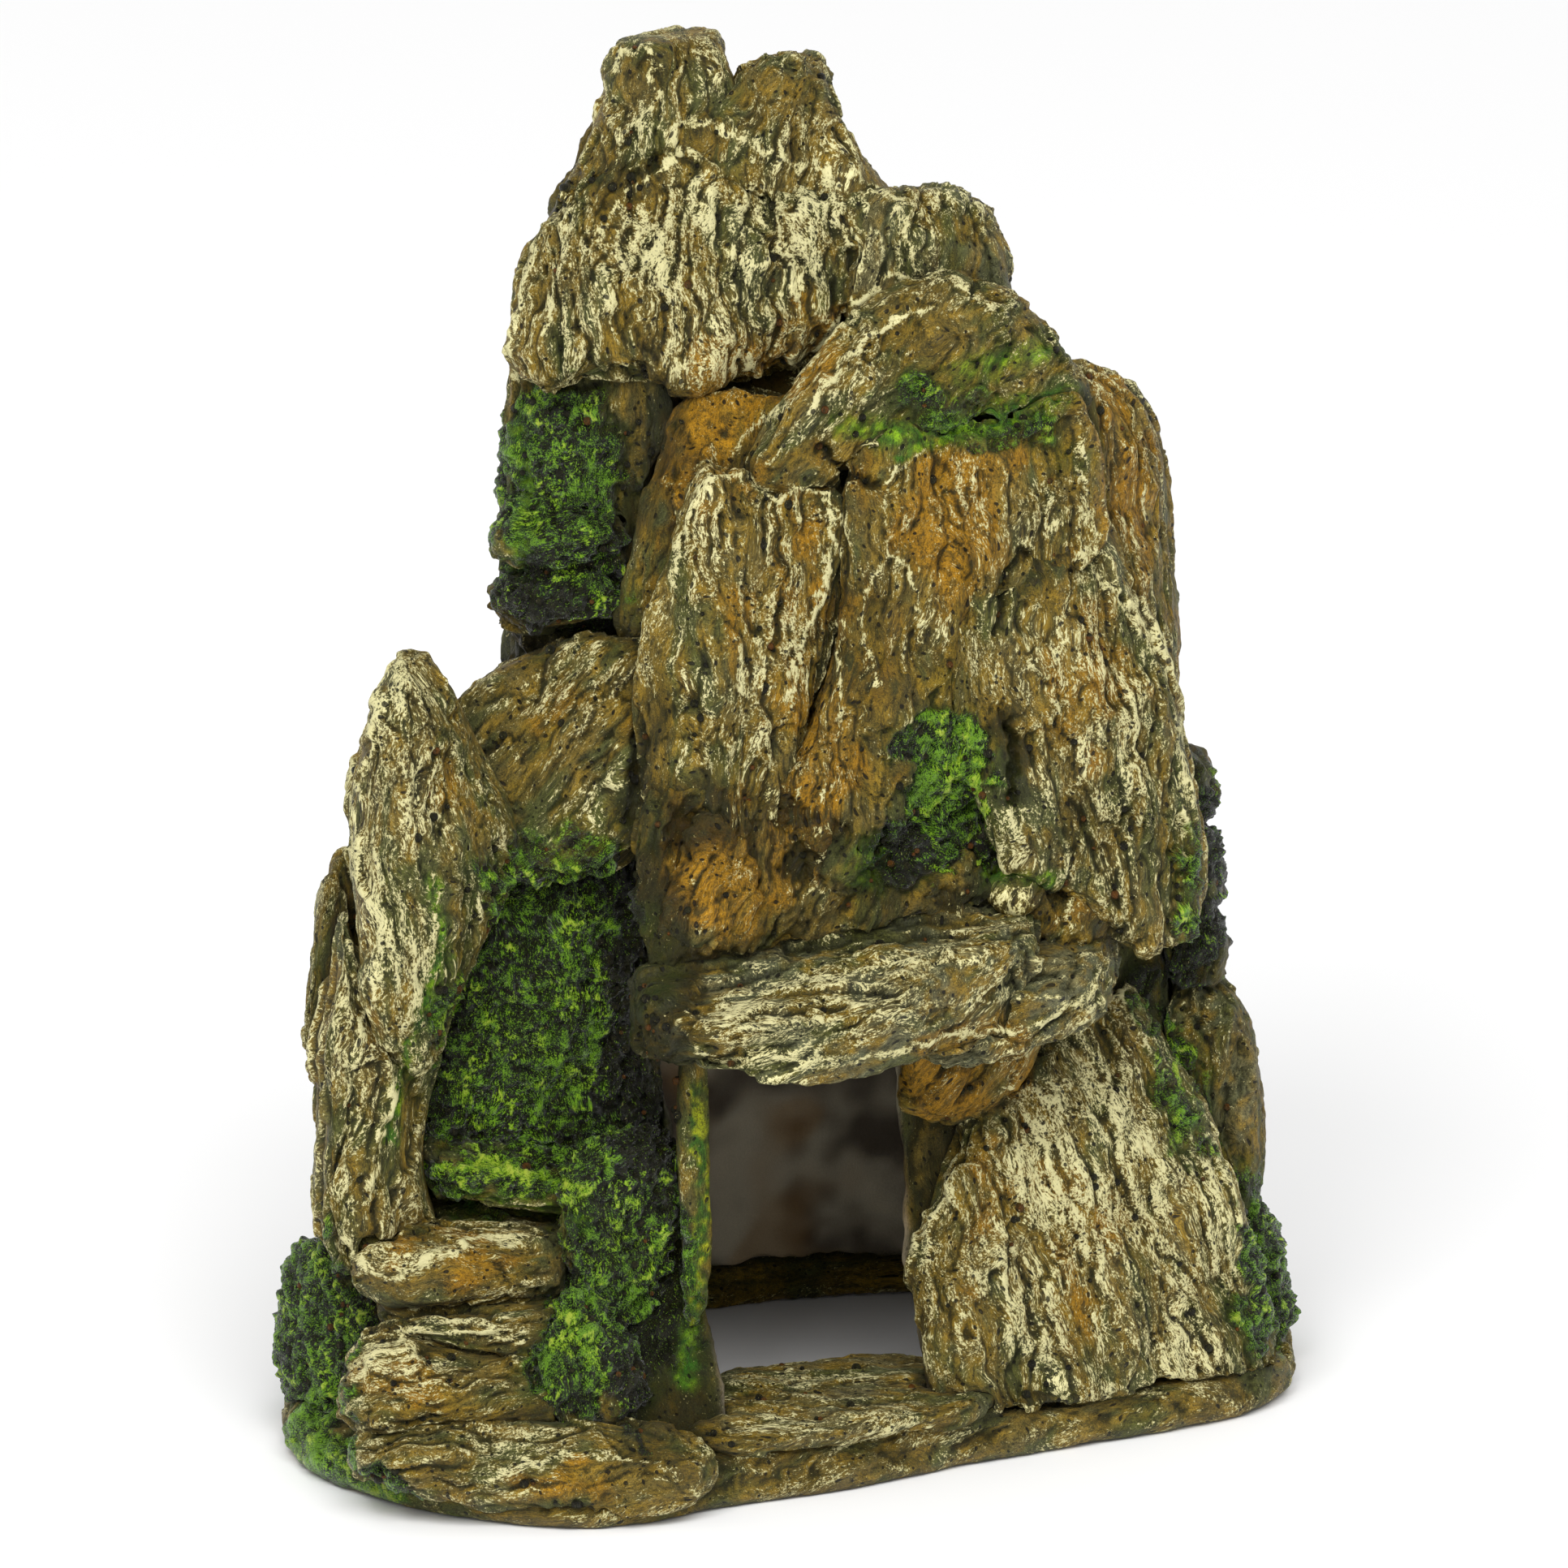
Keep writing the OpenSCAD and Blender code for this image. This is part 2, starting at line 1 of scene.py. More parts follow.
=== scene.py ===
import bpy
import json
import math
import numpy as np
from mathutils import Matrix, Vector


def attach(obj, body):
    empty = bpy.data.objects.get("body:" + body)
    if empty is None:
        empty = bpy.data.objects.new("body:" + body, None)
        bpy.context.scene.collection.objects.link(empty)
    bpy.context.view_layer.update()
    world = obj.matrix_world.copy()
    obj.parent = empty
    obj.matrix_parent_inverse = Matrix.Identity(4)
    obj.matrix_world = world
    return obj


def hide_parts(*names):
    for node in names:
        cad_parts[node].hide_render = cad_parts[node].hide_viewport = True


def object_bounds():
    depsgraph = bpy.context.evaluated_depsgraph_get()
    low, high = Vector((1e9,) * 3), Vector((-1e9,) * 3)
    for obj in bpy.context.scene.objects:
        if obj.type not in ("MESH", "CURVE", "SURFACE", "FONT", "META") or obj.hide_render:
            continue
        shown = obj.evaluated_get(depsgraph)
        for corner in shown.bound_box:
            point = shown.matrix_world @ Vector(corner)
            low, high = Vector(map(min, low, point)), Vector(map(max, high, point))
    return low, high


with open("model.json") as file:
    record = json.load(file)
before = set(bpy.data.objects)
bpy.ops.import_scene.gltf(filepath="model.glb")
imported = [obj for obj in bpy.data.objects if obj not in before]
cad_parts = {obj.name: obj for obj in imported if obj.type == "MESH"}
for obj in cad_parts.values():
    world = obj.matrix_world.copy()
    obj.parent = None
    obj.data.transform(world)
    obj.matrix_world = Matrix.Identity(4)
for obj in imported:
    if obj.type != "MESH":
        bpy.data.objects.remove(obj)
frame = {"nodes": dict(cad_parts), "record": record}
cad_lo, cad_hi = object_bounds()
cad_lo, cad_hi = [float(v) for v in cad_lo], [float(v) for v in cad_hi]

# ---------------------------------------------------------------- frames
# The stones were laid out on an elevation seen 25 degrees from the left of
# the cave front and 18 degrees from above. X runs right and V up on it, in mm.
TURN, TILT = math.radians(25), math.radians(18)
SHIFT = np.array([-3.69, -10.31, 0.0])
CT, ST = math.cos(TURN), math.sin(TURN)


def to_draw(p):
    """row frame in mm to drawing frame"""
    q = p - SHIFT
    return np.stack([q[:, 0] * CT - q[:, 1] * ST, q[:, 0] * ST + q[:, 1] * CT, q[:, 2]], 1)


def vec_to_draw(v):
    return np.stack([v[:, 0] * CT - v[:, 1] * ST, v[:, 0] * ST + v[:, 1] * CT, v[:, 2]], 1)


def elevation(d):
    return d[:, 0], d[:, 2] * math.cos(TILT) + (d[:, 1] + 45) * math.sin(TILT)


# ---------------------------------------------------------------- noise
def hash3(x, y, z, seed):
    h = x.astype(np.uint32) * np.uint32(0x8DA6B343)
    h += y.astype(np.uint32) * np.uint32(0xD8163841)
    h += z.astype(np.uint32) * np.uint32(0xCB1AB31F)
    h += np.uint32((seed * 0x9E3779B9 + 12345) & 0xFFFFFFFF)
    h ^= h >> np.uint32(15)
    h *= np.uint32(0x2C1B3C6D)
    h ^= h >> np.uint32(12)
    h *= np.uint32(0x297A2D39)
    h ^= h >> np.uint32(15)
    return h


def noise(p, seed=0):
    """gradient noise, about -1 to 1"""
    i = np.floor(p)
    f = (p - i).astype(np.float32)
    i = i.astype(np.int64)
    w = f * f * f * (f * (f * 6 - 15) + 10)
    out = np.zeros(len(p), np.float32)
    for dx in (0, 1):
        wx = w[:, 0] if dx else 1 - w[:, 0]
        for dy in (0, 1):
            wy = w[:, 1] if dy else 1 - w[:, 1]
            for dz in (0, 1):
                wz = w[:, 2] if dz else 1 - w[:, 2]
                h = hash3(i[:, 0] + dx, i[:, 1] + dy, i[:, 2] + dz, seed)
                gx = (h & 1023).astype(np.float32) * (2 / 1023) - 1
                gy = ((h >> np.uint32(10)) & 1023).astype(np.float32) * (2 / 1023) - 1
                gz = ((h >> np.uint32(20)) & 1023).astype(np.float32) * (2 / 1023) - 1
                out += wx * wy * wz * (gx * (f[:, 0] - dx) + gy * (f[:, 1] - dy) + gz * (f[:, 2] - dz))
    return out * 1.7


def fbm(p, octaves=4, seed=0, gain=0.5, lac=2.03):
    out = np.zeros(len(p), np.float32)
    a, n = 1.0, 0.0
    q = p
    for k in range(octaves):
        out += a * noise(q, seed + k * 17)
        n += a
        a *= gain
        q = q * lac + 11.3
    return out / n * 1.35


def worley(p, seed=0, jitter=0.95):
    """distance to the nearest and second cell point, offset from the nearest, and its random number"""
    i = np.floor(p)
    f = (p - i).astype(np.float32)
    i = i.astype(np.int64)
    n = len(p)
    f1 = np.full(n, 9.0, np.float32)
    f2 = np.full(n, 9.0, np.float32)
    vec = np.zeros((n, 3), np.float32)
    cid = np.zeros(n, np.uint32)
    for dx in (-1, 0, 1):
        for dy in (-1, 0, 1):
            for dz in (-1, 0, 1):
                h = hash3(i[:, 0] + dx, i[:, 1] + dy, i[:, 2] + dz, seed)
                r = np.empty((n, 3), np.float32)
                r[:, 0] = f[:, 0] - (dx + 0.5 + ((h & 1023) / 1023 - 0.5) * jitter)
                r[:, 1] = f[:, 1] - (dy + 0.5 + (((h >> np.uint32(10)) & 1023) / 1023 - 0.5) * jitter)
                r[:, 2] = f[:, 2] - (dz + 0.5 + (((h >> np.uint32(20)) & 1023) / 1023 - 0.5) * jitter)
                d = np.einsum("ij,ij->i", r, r)
                m = d < f1
                f2 = np.where(m, f1, np.minimum(f2, d))
                f1 = np.where(m, d, f1)
                vec[m] = r[m]
                cid = np.where(m, h, cid)
    return np.sqrt(f1), np.sqrt(f2), vec, cid


def sstep(a, b, x):
    t = np.clip((x - a) / (b - a), 0, 1)
    return t * t * (3 - 2 * t)


def srgb(*c):
    c = np.array(c, np.float32) / 255
    return np.where(c <= 0.04045, c / 12.92, ((c + 0.055) / 1.055) ** 2.4)


# ---------------------------------------------------------------- mesh helpers
def remeshed(src, voxel, first, smooth, inflate, smooth2):
    """closed CAD solid to an even quad mesh in mm: rounded, a little swollen"""
    me = src.data.copy()
    co = np.empty(len(me.vertices) * 3)
    me.vertices.foreach_get("co", co)
    me.vertices.foreach_set("co", co * 1000)
    me.materials.clear()
    ob = bpy.data.objects.new("tmp", me)
    bpy.context.scene.collection.objects.link(ob)
    m = ob.modifiers.new("a", "REMESH")
    m.mode, m.voxel_size, m.use_smooth_shade = "VOXEL", first, False
    if smooth:
        m = ob.modifiers.new("b", "SMOOTH")
        m.factor, m.iterations = 0.5, smooth
    if inflate:
        m = ob.modifiers.new("c", "DISPLACE")
        m.mid_level, m.strength = 0.0, inflate
    m = ob.modifiers.new("d", "REMESH")
    m.mode, m.voxel_size = "VOXEL", voxel
    m = ob.modifiers.new("e", "SMOOTH")
    m.factor, m.iterations = 0.5, smooth2
    dg = bpy.context.evaluated_depsgraph_get()
    out = bpy.data.meshes.new_from_object(ob.evaluated_get(dg))
    bpy.data.objects.remove(ob)
    bpy.data.meshes.remove(me)
    return out


class Skin:
    """mesh as arrays, in mm"""

    def __init__(self, me):
        self.me = me
        n = len(me.vertices)
        self.v = np.empty(n * 3)
        me.vertices.foreach_get("co", self.v)
        self.v = self.v.reshape(n, 3)
        e = np.empty(len(me.edges) * 2, np.int32)
        me.edges.foreach_get("vertices", e)
        self.e = e.reshape(-1, 2)
        self.deg = np.bincount(self.e.ravel(), minlength=n).astype(float)
        self.deg[self.deg == 0] = 1

    def mean(self, a):
        """average of a over the neighbours"""
        i, j = self.e[:, 0], self.e[:, 1]
        n = len(self.v)
        if a.ndim == 1:
            return (np.bincount(i, a[j], n) + np.bincount(j, a[i], n)) / self.deg
        return np.stack([self.mean(a[:, k]) for k in range(a.shape[1])], 1)

    def smooth(self, a, times):
        for _ in range(times):
            a = 0.5 * a + 0.5 * self.mean(a)
        return a

    def normals(self):
        self.me.vertices.foreach_set("co", self.v.ravel())
        self.me.update()
        n = np.empty(len(self.v) * 3, np.float32)
        self.me.vertex_normals.foreach_get("vector", n)
        return n.reshape(-1, 3).astype(float)


# ---------------------------------------------------------------- stones
# angle: lean of the grain on the elevation from upright, degrees, + to the right
# low, step, groove, flake: relief in mm; cream, orange, grey, moss: paint; dark: painted shadow; seam: how strongly
# painted shade darkens the stone where others come close
BASE = dict(angle=0, low=1.0, step=1.0, groove=1.0, flake=1.0, cream=0.5, orange=0.4, grey=0.2, painted_shade=0.2, moss=0.0, vox=0.37, round=3, swell=0.75, seam_shade=1.0)
ROCK = {
    "plinth_ring": dict(angle=88, groove=0.7, step=0.6, low=0.4, cream=0.35, vox=0.6),
    "lintel_slab": dict(vox=0.31, angle=72, step=1.3, groove=0.8, cream=0.55, grey=0.9, orange=0.05),
    "lintel_flake": dict(vox=0.31, angle=70, cream=0.55, grey=0.9, orange=0.05),
    "door_fin": dict(angle=2, low=0.3, step=0.3, groove=0.5, flake=0.3, moss=0.25, cream=0.2, vox=0.36),
    "sill_slab": dict(angle=75, low=0.4, step=0.5, cream=0.6, grey=0.5, orange=0.0),
    "corbel_stone": dict(angle=40, groove=0.3, orange=0.9, cream=0.1),
    "door_boulder": dict(vox=0.33, angle=-14, low=1.1, step=0.9, groove=0.8, cream=0.98, orange=0.5),
    "base_stone": dict(angle=80, cream=0.7, orange=0.5),
    "moss_mound": dict(angle=0, moss=0.75),
    "step_lower": dict(angle=78, cream=0.7, orange=0.6),
    "step_lower_cap": dict(angle=84, cream=0.6, orange=0.5),
    "step_middle": dict(angle=80, cream=0.6, orange=0.5, step=1.3),
    "step_upper": dict(angle=84, cream=0.4, moss=0.35, step=1.2),
    "menhir": dict(vox=0.31, angle=-4, cream=0.85, orange=0.4),
    "menhir_leg": dict(angle=6, cream=0.85, orange=0.4, step=1.3),
    "menhir_back_flake": dict(angle=8, cream=0.6),
    "saddle_slab": dict(angle=38, cream=0.6, orange=0.4, groove=1.1),
    "moss_panel": dict(vox=0.31, moss=0.9),
    "gully_wall": dict(vox=0.31, moss=0.95),
    "face_foot_knobs": dict(vox=0.31, low=1.6, flake=1.6, angle=20, orange=0.8, cream=0.3, groove=0.4),
    "face_slab": dict(vox=0.31, angle=3, cream=0.75, orange=0.5, step=1.2),
    "face_wedge": dict(swell=1.9, vox=0.31, angle=4, cream=0.5, orange=0.8),
    "face_right_slab": dict(vox=0.31, angle=-6, cream=0.75, orange=0.4, step=1.2),
    "ledge_slab": dict(vox=0.31, angle=4, cream=0.55, orange=0.8),
    "moss_patch": dict(swell=1.3, vox=0.31, moss=0.7),
    "face_apron": dict(vox=0.31, angle=20, cream=0.3, orange=0.6, painted_shade=0.35, groove=0.5, flake=1.5, low=1.6),
    "neck_slab": dict(angle=12, cream=0.35, orange=0.6, groove=0.7),
    "dome_slab": dict(vox=0.31, angle=40, cream=0.5, orange=0.3, groove=0.6, step=0.7),
    "shoulder_column": dict(angle=-4, cream=0.5, orange=0.7, groove=1.3),
    "column_ledges": dict(angle=86, moss=0.6, step=1.3),
    "column_upper": dict(angle=0, moss=0.45, cream=0.3),
    "column_foot": dict(angle=20, painted_shade=0.5, cream=0.2),
    "summit_brow": dict(swell=1.2, round=4, vox=0.335, seam_shade=0.35, angle=-2, low=1.4, groove=1.3, step=1.3, cream=1.0, orange=0.35),
    "summit_horn_left": dict(swell=1.2, round=4, vox=0.31, seam_shade=0.35, angle=4, groove=1.1, cream=0.9),
    "summit_horn_right": dict(swell=1.2, round=4, vox=0.31, seam_shade=0.35, angle=14, groove=1.1, cream=0.8),
    "summit_shoulder": dict(swell=1.2, round=4, seam_shade=0.35, angle=10, groove=1.2, cream=0.7, grey=0.6),
    "summit_rear_flake": dict(painted_shade=0.5, cream=0.2),
    "rear_boulder": dict(angle=10, grey=0.8, orange=0.1, cream=0.2, groove=0.4),
    "moss_clump_right": dict(moss=1.0),
    "moss_tuft_right": dict(moss=0.9, painted_shade=0.6),
    "moss_apron_left": dict(moss=1.0),
    "back_slab_left": dict(angle=4, cream=0.5, vox=0.6),
    "back_slab_middle": dict(angle=-3, cream=0.5, vox=0.6),
    "back_slab_right": dict(angle=5, cream=0.5, vox=0.6),
    "back_slab_upper": dict(angle=-2, cream=0.6, vox=0.6),
    "back_foot_stones": dict(angle=60, cream=0.5, vox=0.6),
    "cave_core": dict(low=0.0, step=0.5, groove=0.5, flake=0.5, cream=0.05, painted_shade=0.8, moss=0.3, vox=0.9),
    "core_hood": dict(low=0.0, step=0.5, groove=0.5, flake=0.5, cream=0.05, painted_shade=0.8, moss=0.2, vox=0.9),
}

skins = {}
for name, src in sorted(frame["nodes"].items()):
    k = dict(BASE)
    k.update(ROCK.get(name, {}))
    vox = k["vox"] * 1.0
    core = name in ("cave_core", "core_hood")
    if core:
        me = remeshed(src, vox, 1.0, 3, 0.0, 2)
    elif name == "plinth_ring":
        me = remeshed(src, vox, 0.8, 3, 0.3, 1)
    else:
        me = remeshed(src, vox, 0.7, k["round"], k["swell"], 1)
    s = Skin(me)
    s.k, s.name = k, name
    skins[name] = s
print("vertices", sum(len(s.v) for s in skins.values()))


# ---- how close other stones are, from a coarse grid of surface points, used for painted shade where stones meet
CELL = 1.5
glo = np.array([-85.0, -60.0, -6.0])
gdim = (115, 82, 140)


def density(points, area):
    g = np.zeros(gdim, np.float32)
    i = ((points - glo) / CELL).astype(int)
    i = np.clip(i, 0, np.array(gdim) - 1)
    np.add.at(g, (i[:, 0], i[:, 1], i[:, 2]), area)
    return g


def blur(g):
    for ax in range(3):
        g = (np.roll(g, 1, ax) + g + np.roll(g, -1, ax)) / 3
    return g


def sample(g, p):
    q = (p - glo) / CELL - 0.5
    i = np.clip(np.floor(q).astype(int), 0, np.array(gdim) - 2)
    f = np.clip(q - i, 0, 1)
    out = 0
    for dx in (0, 1):
        for dy in (0, 1):
            for dz in (0, 1):
                w = np.abs(1 - dx - f[:, 0]) * np.abs(1 - dy - f[:, 1]) * np.abs(1 - dz - f[:, 2])
                out = out + w * g[i[:, 0] + dx, i[:, 1] + dy, i[:, 2] + dz]
    return out


for s in skins.values():
    s.area = (s.k["vox"] * 1.0) ** 2
    s.grid = density(s.v, s.area)
total = sum(s.grid for s in skins.values())
for s in skins.values():
    g = blur(blur(total - s.grid))
    s.near = sample(g, s.v)
    s.grid = None


def flakes(g, size, long, seed):
    """plates that each tilt their own way, longest along the grain"""
    f1, f2, vec, cid = worley(g / np.array([size, size, long]), seed, 0.9)
    tx = ((cid >> np.uint32(3)) & 255) / 127.5 - 1
    ty = ((cid >> np.uint32(11)) & 255) / 127.5 - 1
    lift = ((cid >> np.uint32(19)) & 255) / 127.5 - 1
    return vec[:, 0] * tx + vec[:, 1] * ty * 0.9 + 0.35 * lift, f2 - f1


def terraces(g, size, long, levels, seed):
    f = fbm(g / np.array([size, size, long]), 4, seed, 0.5)
    t = f * levels + 40
    kf = np.floor(t)
    fr = t - kf
    rise = sstep(0.72, 1.0, fr)
    return (kf - 40 + rise) / levels, fr


def rock_relief(s):
    """displacement along the normal, in mm, and masks that follow from it"""
    k = s.k
    d = to_draw(s.v)
    a = math.radians(k["angle"])
    g = np.stack([d[:, 0] * math.cos(a) - d[:, 2] * math.sin(a), d[:, 1], d[:, 0] * math.sin(a) + d[:, 2] * math.cos(a)], 1)
    seed = (sum(ord(c) * (i + 3) for i, c in enumerate(s.name)) * 7) % 9973
    s.seed = seed
    warp = np.stack([noise(g / np.array([8, 8, 17]), seed + 1), noise(g / np.array([8, 8, 17]), seed + 2), noise(g / 12, seed + 3)], 1)
    jog = np.stack([noise(g / 3.4, seed + 19), noise(g / 3.4, seed + 20), noise(g / 3.4, seed + 22)], 1)
    gw = g + warp * np.array([2.0, 2.0, 3.0]) + jog * np.array([0.6, 0.6, 1.0])
    s.g = gw
    low = fbm(g / np.array([15, 15, 26]), 3, seed + 5)
    # bedding plates that end in ledges
    st1, fr1 = terraces(gw, 11, 40, 2.6, seed + 7)
    st2, fr2 = terraces(gw, 5.5, 21, 2.2, seed + 9)
    fl, gap = flakes(gw, 8.5, 21, seed + 11)
    fl2, gap2 = flakes(gw + 3.3, 3.1, 8.5, seed + 12)
    # hairline splits and raised veins that run with the bedding
    n1 = noise(gw / np.array([2.3, 2.3, 11]), seed + 13)
    n2 = noise(gw / np.array([1.05, 1.05, 4.6]), seed + 14)
    n3 = noise(gw / np.array([0.62, 0.62, 2.6]), seed + 18)
    patch = sstep(-0.3, 0.4, noise(g / np.array([9, 9, 17]), seed + 15))
    split = sstep(0.16, 0.02, np.abs(n1)) * patch
    vein = sstep(0.2, 0.75, n2) * 0.8 + sstep(0.15, 0.8, n1) * (1 - patch)
    rough = fbm(g / np.array([2.0, 2.0, 2.3]), 3, seed + 16)
    h = (
        k["low"] * low * 1.1
        + k["step"] * (st1 * 2.4 + st2 * 0.32)
        + k["flake"] * (fl * 0.7 + fl2 * 0.12)
        + k["groove"] * (-0.24 * split + 0.07 * vein + 0.05 * n2 + 0.09 * n3)
        + 0.19 * rough
    )
    s.split, s.vein, s.rough, s.patch = split, vein, rough, patch
    s.lip = np.maximum(sstep(0.16, 0.02, fr1) * (fr1 < 0.5), 0.7 * sstep(0.13, 0.02, fr2) * (fr2 < 0.5))
    s.gap = np.minimum(sstep(0.0, 0.10, gap), 0.5 + 0.5 * sstep(0.0, 0.14, gap2))
    return h


def moss_relief(s, seed):
    d = to_draw(s.v)
    q = d + np.stack([noise(d / 2.1, seed + 1), noise(d / 2.1, seed + 2), noise(d / 2.1, seed + 3)], 1) * 0.8
    f1, f2, vec, cid = worley(q / 0.92, seed + 31)
    r = 0.42 + 0.25 * ((cid >> np.uint32(4)) & 255) / 255
    grain = np.sqrt(np.clip(1 - (f1 / (r * 1.25)) ** 2, 0, 1))
    lift = ((cid >> np.uint32(12)) & 255) / 255
    f1b, _, _, cidb = worley(q / 2.5 + 7.7, seed + 33)
    clump = np.clip(1 - f1b * 1.15, 0, 1)
    h = grain * (0.2 + 0.8 * lift) * 0.85 + 1.3 * clump + 0.8 * fbm(d / 5.0, 4, seed + 35) + 0.5 * noise(d / 1.7, seed + 37)
    s.grit = grain
    s.clump = clump
    s.gl = lift
    return h


# painted areas, on the elevation in units of a ninth of a millimetre measured
# from a corner 965 left of the centre line and 1880 above the ground:
# (x, y, half width, half height, lean in degrees, strength)
MOSS = [
    (700, 1130, 110, 150, -20, 1.0), (640, 1300, 130, 140, 0, 1.0), (730, 1380, 80, 90, 0, 1.0), (790, 1560, 75, 170, 0, 1.0),
    (700, 1660, 60, 90, 20, 1.1), (620, 1450, 110, 40, -4, 0.9), (380, 1640, 60, 170, -8, 1.1), (440, 1835, 90, 46, 0, 1.2), (385, 1790, 62, 66, 0, 1.6),
    (690, 590, 90, 120, 0, 1.0), (700, 735, 100, 50, -4, 0.9), (680, 650, 80, 50, 0, 0.9), (1165, 955, 62, 115, 0, 1.5), (1130, 1050, 70, 50, 0, 1.2),
    (1200, 525, 150, 34, 16, 0.9), (1250, 460, 70, 50, 20, 0.45), (1430, 1240, 40, 60, -30, 0.9), (1470, 1370, 40, 120, -14, 0.9),
    (1480, 1080, 40, 120, 0, 1.0), (1580, 1570, 60, 130, -10, 1.1), (860, 1500, 30, 160, 0, 0.5), (580, 1210, 50, 100, 0, 0.6), (1180, 1000, 90, 90, 0, 0.4),
]
ORANGE = [
    (930, 470, 120, 50, 0, 1.0), (860, 560, 60, 100, 10, 0.8), (1180, 620, 80, 110, 0, 0.8), (1330, 860, 60, 140, 0, 0.7), (920, 1040, 90, 70, 0, 0.9),
    (870, 1100, 60, 60, 0, 0.8), (1200, 1300, 90, 60, -20, 1.0), (500, 1700, 80, 40, 0, 0.8), (570, 1560, 90, 40, 0, 0.7), (700, 1830, 90, 30, 0, 0.7),
    (960, 760, 80, 130, 0, 0.5), (1000, 930, 60, 120, 0, 0.6), (1400, 560, 50, 140, 0, 0.7), (1300, 1560, 110, 130, 0, 0.45), (1250, 1450, 60, 140, 10, 0.6),
    (640, 400, 40, 110, 0, 0.5), (1010, 420, 80, 40, 0, 0.8), (700, 870, 90, 60, 0, 0.5), (560, 1000, 40, 120, 0, 0.5), (470, 1270, 60, 130, 0, 0.3), (980, 590, 70, 40, 0, 0.6),
]
# dark spots: painted shadow in gaps, gullies, slots and under overhangs
SHADOW_SPOTS = [
    (808, 1230, 52, 205, 0, 1.6), (800, 1420, 30, 60, 0, 1.0), (790, 960, 20, 100, 8, 0.9), (810, 560, 35, 90, 0, 0.9), (930, 330, 60, 30, 0, 0.2), (1245, 930, 22, 60, 0, 1.0),
    (700, 780, 80, 30, 0, 0.6), (640, 770, 60, 60, 0, 0.5), (1080, 1060, 60, 50, 0, 0.6), (830, 1010, 60, 50, 0, 0.6), (820, 1720, 60, 90, 0, 0.9),
    (880, 400, 60, 40, 0, 0.3), (770, 230, 40, 60, 20, 0.6), (800, 110, 30, 40, 0, 0.5),
]
CREAM = [
    (900, 330, 130, 130, 0, 0.5), (830, 230, 70, 120, 0, 0.4), (1060, 300, 110, 70, 30, 0.3), (690, 330, 50, 90, 0, 0.3), (500, 950, 50, 130, 0, 0.4),
    (480, 1180, 50, 130, 0, 0.4), (1360, 790, 60, 180, 0, 0.4), (1320, 980, 90, 180, 0, 0.3), (1330, 1450, 110, 160, 0, 0.45), (1420, 1560, 100, 160, 0, 0.3),
    (1010, 1230, 180, 70, -8, 0.5), (860, 660, 30, 120, 0, 0.3), (1030, 700, 30, 120, 0, 0.4), (960, 880, 30, 120, 0, 0.3), (510, 1640, 80, 50, 0, 0.3),
    (1000, 1740, 120, 50, 0, 0.3), (1100, 100, 60, 60, 0, 0.2), (1020, 480, 40, 90, 40, 0.4), (1290, 650, 40, 80, 0, 0.3),
]


def painted(spots, X, V, wob):
    px, py = 965 + 9 * X + wob[0], 1880 - 9 * V + wob[1]
    out = np.zeros(len(X))
    for x, y, w, h, lean, k in spots:
        a = math.radians(lean)
        u = ((px - x) * math.cos(a) + (py - y) * math.sin(a)) / w
        v = (-(px - x) * math.sin(a) + (py - y) * math.cos(a)) / h
        out = np.maximum(out, k * sstep(1.35, 0.55, np.sqrt(u * u + v * v)))
    return out


def drawn(lines, X, V, wob):
    """soft band along drawn lines, in the same units: (width, strength, points)"""
    px, py = 965 + 9 * X + wob[0], 1880 - 9 * V + wob[1]
    out = np.zeros(len(X))
    for w, k, pts in lines:
        xs, ys = [p[0] for p in pts], [p[1] for p in pts]
        m = np.nonzero((px > min(xs) - 3 * w) & (px < max(xs) + 3 * w) & (py > min(ys) - 3 * w) & (py < max(ys) + 3 * w))[0]
        if not len(m):
            continue
        qx, qy = px[m], py[m]
        best = np.full(len(m), 1e9)
        for (ax, ay), (bx, by) in zip(pts[:-1], pts[1:]):
            ux, uy = bx - ax, by - ay
            t = np.clip(((qx - ax) * ux + (qy - ay) * uy) / (ux * ux + uy * uy), 0, 1)
            best = np.minimum(best, np.hypot(qx - ax - t * ux, qy - ay - t * uy))
        out[m] = np.maximum(out[m], k * np.exp(-(best / (w * 0.72)) ** 2))
    return out


